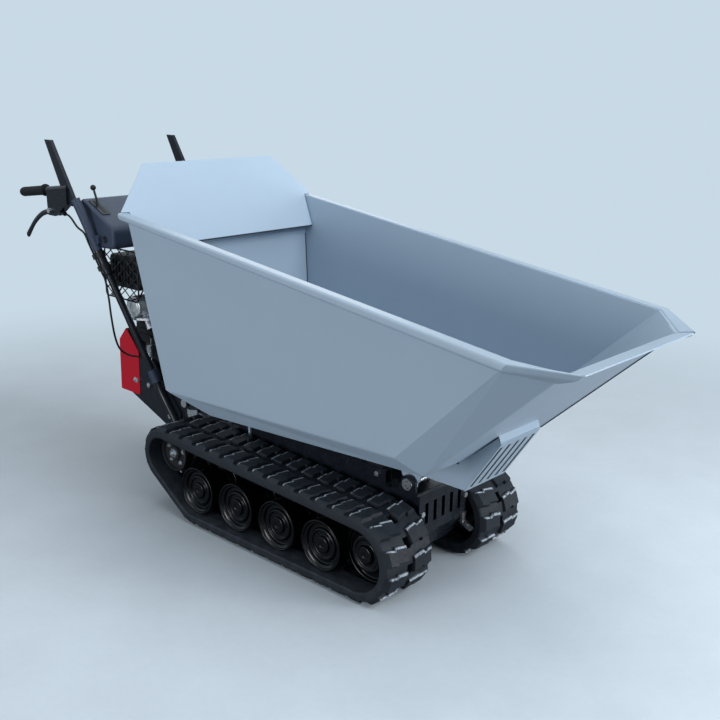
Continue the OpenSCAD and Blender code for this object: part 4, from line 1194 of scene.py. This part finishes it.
@dataclass
class RunningGear:
    """Road wheels, idler and drive sprocket of one side."""

    side: Side
    first_x: float = -150.0
    step: float = 168.3
    wheel_z: float = 103.3
    idler: Array = fixed(vec(494.0, 117.3))
    drive: Array = fixed(vec(-288.5, 177.5))
    tooth: Array = fixed(pairs(-9, 50, 9, 50, 5, 63.8, -5, 63.8))
    tooth_y: float = 189.0
    tooth_w: float = 16.0
    hub_y: float = 238.0
    ring_y: float = 228.4
    ring_r: float = 36.0
    wheel_profile: Array = fixed(pairs(
        12.8, 126, 26, 126, 28, 134, 60, 136, 64, 132, 70, 132, 70, 168, 44, 172, 44, 222, 70, 226, 70, 264,
        66, 264, 63, 258, 58, 256, 55, 248, 46, 247, 43, 255, 38, 256, 36, 250, 24, 250, 22, 259, 8, 259,
        7, 257, 0, 257))
    idler_profile: Array = fixed(pairs(
        12.8, 130, 26, 130, 28, 144, 56, 146, 60, 150, 60, 171, 89, 176, 93, 180, 93, 214, 89, 218, 85, 219,
        83, 221.5, 77, 221.5, 74, 213, 55, 211, 52, 234, 48, 239, 40, 239, 37, 234, 26, 235, 22, 246, 8, 246,
        7, 244, 0, 244))
    drive_profile: Array = fixed(pairs(
        0, 40, 16, 40, 16, 126, 30, 126, 32, 142, 57, 144, 57, 170, 44, 171, 44, 189, 57, 189, 57, 205,
        44, 205, 44, 223, 57, 224, 57, 238, 50, 240, 48, 230, 24, 228, 22, 238, 0, 238))

    def build(self) -> None:
        """Makes the four road wheels, the idler and the sprocket with its bolts."""
        wheel = rounded(self.wheel_profile, 2.2, 4, False)
        idler = rounded(self.idler_profile, 2.6, 4, False)
        for i in range(4):
            at = vec(self.first_x + i * self.step, self.wheel_z)
            self._wheel("road", f"wheel_{self.side.word}_{i + 1}", at, wheel)
        self._wheel("front", f"idler_{self.side.word}", self.idler, idler)
        self._sprocket(vec(0, self.side.value, 0))

    def _wheel(self, kind: str, node: str, at: Array, profile: Array) -> None:
        """Makes a turned wheel on its own body.

        Args:
            kind: first word of the piece's name.
            node: the solid that it stands for, and its body.
            at: X and Z of its axis.
            profile: radius and distance from the middle of the machine.
        """
        skin = Skin()
        skin.turned(profile, at_y(at, 0), vec(0, self.side.value, 0), 96)
        skin.piece(f"{kind}_{node}", node, WHEEL, [node], crease=50.0, even=False)

    def _sprocket(self, out: Array) -> None:
        """The sprocket: a turned drum, six teeth that narrow outwards, and bright hub bolts.

        Args:
            out: direction away from the middle of the machine.
        """
        node, at = f"sprocket_{self.side.word}", at_y(self.drive, 0)
        skin = Skin()
        skin.turned(rounded(self.drive_profile, 1.6, 3, False), at, out, 72)
        tooth = rounded(self.tooth, 2.0, 3)
        for c, s in circle(np.radians(np.arange(30, 360, 60))):
            skin.slab(tooth, at + self.tooth_y * out, vec(c, 0, -s), vec(s, 0, c), self.tooth_w * out)
        skin.piece(f"drive_{node}", node, IRON, [node], bevel=0.8, fold=50.0)
        bolts = Skin()
        bolts.bolt(at + self.hub_y * out, out, 10.0)
        for spoke in circle(np.radians(np.arange(15, 375, 72))):
            bolts.bolt(at + self.ring_y * out + self.ring_r * at_y(spoke, 0), out, 5.5)
        bolts.piece(f"hub_bolts_{self.side.word}", node, ZINC, crease=30.0)


@dataclass
class Chassis:
    """The welded frame with its plates, pads, pins, slide bolt and gearbox, and the gearbox's bolts."""

    joint_y: float = 66.0
    joint_bolts: Array = fixed(pairs(-372, 266, -266, 266, -372, 134, -266, 134, -319, 229))
    cover_y: float = 50.0
    cover_bolts: Array = fixed(pairs(-425, 436, -349, 436, -425, 330))

    def build(self) -> None:
        """Dresses the solids and adds the bolts of the gearbox joint and of its upper cover."""
        show(BLACK, "main_frame", "front_bumper", "saddle_rails")
        show(RUBBER_AND_SHADE, "saddle_pads")
        show(ZINC, "tow_tabs", "hinge_pin", "zinc_bolts", "latch_guide", "latch_bolt")
        show(STEEL, "wheel_axles", "idler_tensioners")
        show(SATIN, "gearbox")
        skin = Skin()
        for y, places in ((self.joint_y, self.joint_bolts), (self.cover_y, self.cover_bolts)):
            for side in (-1.0, 1.0):
                for place in places:
                    skin.bolt(at_y(place, side * y), side * ACROSS, 5.0)
        skin.piece("gear_bolts", CHASSIS, ZINC, crease=30.0)


@dataclass
class Handlebar:
    """One handlebar: bent tube on its foot plate, post, grip, steering lever and control cable."""

    side: Side
    foot: Array = fixed(vec(-434, -113.5, 206))
    knee: Array = fixed(vec(-503, -113.5, 288))
    top: Array = fixed(vec(-745, -238, 895))
    stem_a: Array = fixed(vec(-779, -238, 925))
    stem_b: Array = fixed(vec(-1045, -238, 890.5))
    thin: float = 11.0
    wide: float = 14.0
    change: float = 0.62
    slate: float = 0.742
    pivot: Array = fixed(vec(-872, -238, 848))
    lever_line: Array = fixed(pairs(-872, 848, -905, 840, -944, 828, -990, 798, -1036, 751))
    plate: Array = fixed(pairs(-424, 190, -500, 186, -690, 258, -690, 300, -640, 385, -560, 385, -424, 236))
    plate_y: Span = (-104.0, -96.0)
    sleeve: Array = fixed(vec(0.06, 0.062, 0.123, 0.125))
    sleeve_over: Array = fixed(vec(2, 4, 4, 2))
    grip_long: float = 136.0
    grip_ribs: int = 8
    rib_from: float = 9.0
    rib_to: float = 137.0
    rib_r: float = 14.4
    rib_high: float = 1.1
    grip_flange: Array = fixed(pairs(11.02, 0, 18.4, 0, 19.5, 1.2, 19.5, 4, 18, 6, 14.8, 8))
    grip_dome: Array = fixed(vec(13.6, 6))
    lever_r: float = 8.6
    swell: float = 1.2
    tip_long: float = 9.6
    lever_boss: Array = fixed(pairs(0, -4, 11, -4, 11, 4, 0, 4))
    lever_arm: Array = fixed(vec(20, 0, -10))
    cable_r: float = 3.2
    cable_gap: float = 0.8
    cable_lean: Array = fixed(vec(-0.743, -0.668, 0))
    cable_beside: Array = fixed(vec(0.84, 0.79, 0.74, 0.69, 0.64, 0.6))
    cable_top: Array = fixed(triples(-805.6, -238, 841.9, -785, -240, 840, -763, -243, 832, -739, -240, 809))
    cable_low: Array = fixed(triples(
        -637, -206, 592, -625, -208, 534, -624, -198, 467, -626, -180, 424, -616, -156, 402, -599, -132, 395,
        -583, -115, 388, -576, -106.8, 383))

    def build(self) -> None:
        """Makes the cable first, then tube, grip and lever, and dresses the post."""
        self._cable()
        self._tube()
        self._grip()
        self._lever()
        show(BLACK, f"post_{self.side.word}")

    def on_tube(self, share: "float | Array") -> Array:
        """Points of the upper tube at shares of its length."""
        return between(self.knee, self.top, share)

    def _cable(self) -> None:
        """The control cable: a round sheath along the smooth curve through its route."""
        way, lean = unit(self.top - self.knee), self.cable_lean
        aside = (self.wide + self.cable_r + self.cable_gap) * unit(lean - (lean @ way) * way)
        beside = self.on_tube(self.cable_beside) + aside
        route = np.vstack([self.cable_top, beside, self.cable_low])
        path = to_side(spread(smooth_path(route, 10), 120), self.side)
        word = self.side.word
        skin = Skin()
        skin.tube(path, self.cable_r, 14, (0.13, 1.0, 0.37))
        obj = skin.piece(f"control_cable_{word}", CHASSIS, CABLE, [f"cable_{word}"], crease=60.0)

    def _tube(self) -> None:
        """Bent tube with its foot plate, and the upper part and clamp sleeve over it in slate, a painted
        bluish sheen on the frame black.

        The path is foot, knee and top with a rounded knee; each part is a ring carried along its share.
        """
        word, up, change = self.side.word, (0, 1, 0.05), self.change
        bend = rounded(np.stack([self.foot, self.knee, self.on_tube(change + 0.008)]), 46, 14, False)
        skin = Skin()
        skin.tube(to_side(bend, self.side), self.thin, 28, up)
        t = np.concatenate([change + vec(-0.003, 0, 0.003), np.linspace(change + 0.02, self.slate, 4)])
        r = np.concatenate([[self.thin + 0.6, self.wide - 0.6], np.full(5, self.wide)])
        skin.tube(to_side(self.on_tube(t), self.side), r, 32, up)
        skin.prism(rounded(self.plate, 9, 4), *(y * self.side.flip for y in self.plate_y))
        skin.piece(f"bent_tube_{word}", CHASSIS, BLACK, [f"handle_tube_{word}"], bevel=0.9, fold=50.0)
        # Painted sheen: the upper tube and the clamp sleeve take the lighter console slate instead of the
        # frame black of their slot.
        upper = Skin()
        upper.tube(to_side(self.on_tube(np.linspace(self.slate, 1, 6)), self.side), self.wide, 32, up)
        upper.tube(to_side(self.on_tube(self.sleeve), self.side), self.thin + self.sleeve_over, 28, up)
        upper.piece(f"tube_sleeve_{word}", CHASSIS, SLATE, slot="frame_black")

    def _grip(self) -> None:
        """Ribbed grip: a profile of flange, eight soft ribs and a domed end, turned about the stem."""
        way, word = unit(self.stem_b - self.stem_a), self.side.word
        share = np.linspace(0, 1, 65)
        wave = np.sqrt(np.abs(np.sin(share * self.grip_ribs * np.pi)))
        long = self.rib_from + share * (self.rib_to - self.rib_from)
        ribs = np.stack([self.rib_r + self.rib_high * wave, long], 1)
        dome = circle(np.linspace(0, QUARTER, 7)) * self.grip_dome + vec(0, self.rib_to + 3)
        start, axis = (to_side(v, self.side) for v in (self.stem_b - self.grip_long * way, way))
        skin = Skin()
        skin.turned(np.vstack([self.grip_flange, ribs, dome]), start, axis, 40)
        skin.piece(f"ribbed_grip_{word}", CHASSIS, RUBBER_AND_SHADE, [f"grip_{word}"], crease=60.0, even=False)

    def _lever(self) -> None:
        """Steering lever: a flat bar along its bent line, swelling at the tip, with boss and cable arm."""
        path = at_y(spread(smooth_path(self.lever_line, 12), 48), self.pivot[1])
        r = self.lever_r + self.swell * np.clip((np.linspace(0, 1, 48) - 0.7) / 0.25, 0, 1) ** 2
        tip = unit(path[-1] - path[-2])
        ends = path[-1] + np.sin(np.linspace(0.35, QUARTER, 6))[:, None] * self.tip_long * tip
        r = np.concatenate([r, r[-1] * np.cos(np.linspace(0.35, QUARTER - 0.06, 6))])
        skin = Skin()
        skin.tube(to_side(np.vstack([path, ends]), self.side), r, 24, (0, 0, 1.0), flat=0.42)
        boss = rounded(self.lever_boss, 1.2, 3, False)
        skin.turned(boss, to_side(self.pivot, self.side), ACROSS, 40)
        arm = between(self.pivot + self.lever_arm, self.pivot, np.linspace(0, 1, 5))
        skin.tube(to_side(arm, self.side), 4.8, 16, (0, 0, 1.0), flat=0.7)
        node = f"lever_{self.side.word}"
        skin.piece(f"steering_{node}", node, BLACK, [node], crease=50.0)


@dataclass
class Console:
    """The slate console between the handlebars, with its throttle and gear levers."""

    half: float = 200.0
    axis: Array = fixed(vec(-718.0, 838.0))
    plate: Array = fixed(vec(-720.0, 866.0))
    throttle_y: float = -168.0
    shift_y: float = 60.0
    slope: Array = fixed(unit(vec(-156, 0, 75)))
    middle: Array = fixed(vec(-690, 812))
    soft: float = 11.0
    lug: Box = (-716.0, 760.0, -668.0, 786.0)
    lug_y: Span = (213.0, 196.0)
    grommet: Array = fixed(pairs(0, 0.4, 7, 0.4, 8.5, 1.6, 11.5, 1.4, 12, 0, 12, -4))
    grommet_at: Array = fixed(vec(-649, 776))
    boss: Array = fixed(pairs(0, -10, 3, -10, 3, 10, 0, 10))
    side: Array = fixed(pairs(
        -782, 884, -772, 891, -616, 816, -606, 804, -606, 757, -614, 748, -690, 744, -754, 800))

    def build(self) -> None:
        """Makes the moulding, its trim and its levers."""
        self._case()
        self._trim()
        self._levers()

    def _case(self) -> None:
        """The moulding: its side outline carried across with soft edges, and a lug at each end."""
        skin = Skin()
        skin.soft_box(rounded(self.side, 12, 5), -self.half, self.half, self.soft, self.middle, (-60.0, 60.0))
        for y in (-1.0, 1.0):
            skin.prism(rectangle(*self.lug, 4), *(y * v for v in self.lug_y))
        skin.piece("console_case", CHASSIS, SLATE, ["console"], crease=42.0)

    def _trim(self) -> None:
        """Dark trim: a grommet in each end face, and a plate with a dark slot of painted shade under each
        lever.
        """
        skin, dark = Skin(), Skin()
        for y in (-1.0, 1.0):
            skin.turned(self.grommet, at_y(self.grommet_at, y * self.half), y * ACROSS, 36)
        face = square_to(self.slope)
        for y in (self.throttle_y, self.shift_y):
            foot = at_y(self.plate, y)
            skin.slab(rectangle(-44, -16, 44, 16, 8), foot - 1.5 * face, self.slope, ACROSS, 4.0 * face)
            # Painted shade: a thin dark sheet on the plate stands for the shade inside each lever slot.
            dark.slab(rectangle(-34, -5, 34, 5, 4.5), foot + 2.2 * face, self.slope, ACROSS, 0.6 * face)
        skin.piece("console_trim", CHASSIS, KNOB, bevel=0.7)
        dark.piece("lever_slots", CHASSIS, SEAM_AND_SHADE)

    def _levers(self) -> None:
        """Both levers: a flat stem along its bent line, a boss on the shaft and a turned knob on top."""
        for name, y, bends, knob, stem in (
                ("throttle", self.throttle_y, pairs(-730, 880, -750, 925), 9.0, 4.6),
                ("shift", self.shift_y, pairs(-722, 900, -730, 968), 17.0, 5.0)):
            path = at_y(spread(smooth_path(np.vstack([self.axis, bends]), 12), 30), y)
            skin = Skin()
            skin.tube(path, stem, 18, (1.0, 0, 0.1), flat=0.62)
            skin.turned(rounded(self.boss, 0.6, 3, False), at_y(self.axis, y), ACROSS, 20)
            neck = pairs(0, -1.75, 0.34, -1.72, 0.36, -1.1)
            ball = np.vstack([neck, circle(np.linspace(-1.15, QUARTER, 18))]) * knob
            skin.turned(ball, path[-1], unit(path[-1] - path[-3]), 40)
            skin.piece(f"{name}_control", f"{name}_lever", KNOB, [f"{name}_lever"], crease=50.0)


@dataclass
class Engine:
    """The small engine: castings, muffler, tank, air cleaner, starter, pulleys, belt and its spring."""

    crank: tuple[float, float] = (-570.0, 410.0)
    driven: tuple[float, float] = (-386.0, 395.0)
    crank_r: float = 33.3
    driven_r: float = 49.3
    belt_y: float = -82.0
    belt_section: Array = fixed(pairs(-3, 0.4, 3, 0.4, 4.6, 7.4, -4.6, 7.4))
    muffler: Box = (-716.0, 616.0, -556.0, 720.0)
    muffler_y: Span = (-145.0, -46.0)
    inlet: Array = fixed(triples(-630, -60, 590, -590, -41, 640))
    muffler_stay: Array = fixed(triples(-690, -100, 622, -690, -100, 604, -612, -52, 604))
    rib_step: float = 16.0
    rib_wide: float = 9.0
    tank: Box = (-700.0, 594.0, -470.0, 694.0)
    tank_y: Span = (-40.0, 146.0)
    tank_foot: Array = fixed(triples(-610, -30, 590, -540, 40, 597))
    neck: Array = fixed(pairs(22, 688, 22, 702, 19, 702, 19, 690))
    neck_at: Array = fixed(vec(-600, 60, 0))
    cleaner: Box = (-498.0, 500.0, -424.0, 592.0)
    cleaner_y: Span = (-110.0, 12.0)
    duct: Array = fixed(triples(-508, -30, 530, -490, 10, 570))
    casting: Array = fixed(triples(-610, -98, 545, -567, -98, 488))
    rings: Array = fixed(pairs(34, -4, 34.6, 0, 34.6, 5, 31, 7, 30, 3, 24, 2.5, 23, 6, 14, 7, 12, 4, 0, 4))
    rings_at: Array = fixed(vec(-605, -133, 560))
    flange: Array = fixed(pairs(-646, -142, -590, -142, -556, -112, -556, -92, -646, -92))
    cooling: Array = fixed(pairs(-650, 517, -560, 517, -548, 470, -560, 436, -622, 436, -650, 462))
    spring_foot: Array = fixed(vec(-575, -102.5, 393))
    coil_r: float = 8.0
    coil_step: float = 4.4
    coil_turns: int = 9
    guard: Box = (-722.0, 584.0, -548.0, 742.0)
    guard_y: float = -156.0
    guard_slope: float = 0.75
    guard_step: float = 46.0

    def build(self) -> None:
        """Makes the detailed pieces and dresses the solids that stay."""
        show(SATIN, "crankcase")
        show(ALLOY, "cylinder")
        show(KNOB, "fuel_cap", "starter_handle")
        show(ENAMEL, "recoil_housing")
        show(RUBBER_AND_SHADE, "plug_cap")
        show(PULLEY, "engine_pulley", "driven_pulley")
        show(CABLE, "cable_clamps")
        self._muffler()
        self._guard()
        self._tank()
        self._cleaner()
        self._carburettor()
        self._belt()
        self._spring()

    def _muffler(self) -> None:
        """The muffler: a soft-edged box with an inner joint band, ribs outside, its inlet and its stay."""
        skin = Skin()
        skin.soft_box(rectangle(*self.muffler, 18, 6), *self.muffler_y, 9)
        skin.prism(rectangle(*inset(self.muffler, 2), 17, 6), -98, -94)
        for x in np.arange(-698, -570, self.rib_step):
            skin.soft_box(rectangle(x, 632, x + self.rib_wide, 704, 4, 4), -150, -138, 3)
        skin.box(*self.inlet)
        skin.tube(rounded(self.muffler_stay, 12, 6, False), 4, 14, (0.2, 1, 0.3))
        skin.piece("ribbed_muffler", CHASSIS, HEAT, ["muffler"], bevel=0.8, fold=55.0)

    def _guard(self) -> None:
        """Wire guard beside the muffler: crossed wires z = z0 + m (x - c), cut at a bent border wire."""
        (x0, z0, x1, z1), y, slope = self.guard, self.guard_y, self.guard_slope
        skin = Skin()
        for m, base in ((slope, z0), (-slope, z1)):
            for c in np.arange(x0 - 210, x1, self.guard_step):
                x = np.sort(np.clip(c + (vec(z0, z1) - base) / m, x0, x1))
                z = base + m * (x - c)
                if np.ptp(x) > 12 and z.min() > z0 - 1 and z.max() < z1 + 1:
                    skin.tube(at_y(np.stack([x, z], 1), y - 1.2 * np.sign(m)), 1.7, 8, (0, 1, 0.1))
        skin.tube(at_y(rectangle(*self.guard, 14, 6), y), 2.6, 12, ACROSS, closed=True)
        for x in (-690.0, -580.0):
            stay = triples(x, y, z0 + 4, x, y + 26, z0 + 8, x, -110, 622)
            skin.tube(rounded(stay, 14, 6, False), 2.6, 10, (1, 0.1, 0))
        skin.piece("wire_guard", CHASSIS, BLACK, crease=60.0)

    def _tank(self) -> None:
        """The fuel tank: a soft pressed box with an inner joint band, its filler neck and its foot."""
        skin = Skin()
        skin.soft_box(rectangle(*self.tank, 26, 7), *self.tank_y, 16)
        skin.prism(rectangle(*inset(self.tank, 1), 26, 7), 50, 54)
        skin.turned(self.neck, self.neck_at, vec(0, 0, 1), 36)
        skin.box(*self.tank_foot)
        skin.piece("pressed_tank", CHASSIS, ENAMEL, ["fuel_tank"], crease=42.0)

    def _cleaner(self) -> None:
        """The air cleaner: a soft-edged cover with an inner joint band, and the duct to the cylinder."""
        skin = Skin()
        skin.soft_box(rectangle(*self.cleaner, 14, 6), *self.cleaner_y, 9)
        skin.prism(rectangle(*inset(self.cleaner, 1), 14, 6), -30, -26)
        skin.box(*self.duct)
        skin.piece("cleaner_cover", CHASSIS, KNOB, ["air_cleaner"], crease=42.0)

    def _carburettor(self) -> None:
        """Turned rings on the bright round body, the casting and flange below it, and the cooling plate."""
        skin = Skin()
        skin.turned(rounded(self.rings, 1.4, 3, False), self.rings_at, -ACROSS, 56)
        cast = between(*self.casting, np.linspace(0, 1, 9))
        skin.tube(cast, 15 - 4 * np.sin(np.linspace(0, np.pi, 9)), 18, (0, 1, 0.1), flat=0.75)
        skin.slab(rounded(self.flange, 8, 4), vec(0, 0, 518), vec(1, 0, 0), ACROSS, vec(0, 0, 7))
        skin.piece("bright_carburettor", CHASSIS, ALLOY, crease=40.0)
        plate = Skin()
        plate.prism(rounded(self.cooling, 8, 4), -97, -93)
        for z in (456.0, 474.0, 492.0):
            plate.soft_box(rectangle(-636, z, -572, z + 8, 3, 3), -101, -95, 2)
        plate.piece("cooling_plate", CHASSIS, SATIN, bevel=0.8, fold=50.0)

    def _belt(self) -> None:
        """The drive belt: a wedge section carried round both pulleys.

        The inside follows two arcs and the lines that touch them; the section narrows inwards.
        """
        c = triples(*self.crank, self.crank_r, *self.driven, self.driven_r)
        d = c[1, :2] - c[0, :2]
        lean = math.atan2(d[1], d[0])
        half = math.acos((c[0, 2] - c[1, 2]) / np.linalg.norm(d))
        a = np.linspace(lean + half, lean + 2 * np.pi - half, 40)
        b = np.linspace(lean - half, lean + half, 40)
        normal, owner = circle(np.concatenate([a, b])), np.repeat([0, 1], 40)
        base = c[owner, :2] + c[owner, 2:] * normal
        section = rounded(self.belt_section, 0.8, 2)
        skin = Skin()
        flat = base[:, None] + section[None, :, 1:] * normal[:, None]
        skin.grid(at_y(flat, self.belt_y + section[None, :, 0]), wrap_u=True, wrap_v=True)
        skin.piece("wedge_belt", CHASSIS, RUBBER_AND_SHADE, ["drive_belt"], crease=40.0)

    def _spring(self) -> None:
        """The belt's tension spring: a wire along a helix, with straight ends."""
        r, turns, step = self.coil_r, self.coil_turns, self.coil_step
        a = np.linspace(0, turns * 2 * np.pi, turns * 28)
        coil = np.column_stack([r * circle(a), step * a / (2 * np.pi)])
        low, high = triples(r, 0, -8, r, 0, -4), triples(r, 0, turns * step + 4, r, 0, 65)
        skin = Skin()
        skin.tube(self.spring_foot + np.vstack([low, coil, high]), 1.5, 10, (0.13, 1, 0.37))
        skin.piece("tension_spring", CHASSIS, ZINC, ["belt_spring"], crease=60.0)


@dataclass
class RearCover:
    """The red sheet cover behind the engine, folded at its edges."""

    y: float = 104.0
    sheet: float = 2.0
    hem_r: float = 1.6
    cheek: Array = fixed(pairs(-735, 252, -632, 252, -632, 400, -698, 465, -735, 424))
    hem: Array = fixed(pairs(-734, 254, -633.5, 254, -633.5, 399, -697, 463))
    back: Array = fixed(pairs(-736, 252, -736, 424, -698, 467, -696.6, 465.6, -734, 423.4, -734, 252))
    bolt_at: Array = fixed(vec(-655, 300))

    def build(self) -> None:
        """Makes both cheeks, the back and the sloping top, with a hem along each cheek and bright bolts."""
        skin, bolts, outside = Skin(), Skin(), self.y + self.sheet
        cheek, hem = rounded(self.cheek, 6, 4), rounded(self.hem, 6, 4, False)
        for s in (-1.0, 1.0):
            skin.prism(cheek, s * outside, s * self.y)
            skin.tube(at_y(hem, s * (self.y + 0.4)), self.hem_r, 8, (0, 1, 0.05))
            bolts.bolt(at_y(self.bolt_at, s * outside), s * ACROSS, 6.0)
        skin.prism(self.back, -outside, outside)
        skin.piece("red_cover", CHASSIS, RED, ["rear_cover"], bevel=0.6, fold=50.0)
        bolts.piece("cover_bolts", CHASSIS, ZINC, crease=30.0)


def main() -> None:
    """Builds the stage and every sub-assembly in order."""
    logging.basicConfig(level=logging.INFO, format="%(name)s: %(message)s")
    bpy.context.scene.view_settings.view_transform = "Standard"
    Stage().build()
    for side in Side:
        Handlebar(side).build()
    Tub().build()
    for side in Side:
        RubberTrack(side).build()
        RunningGear(side).build()
    for part in (Chassis(), Console(), Engine(), RearCover()):
        part.build()


if __name__ == "__main__":
    main()
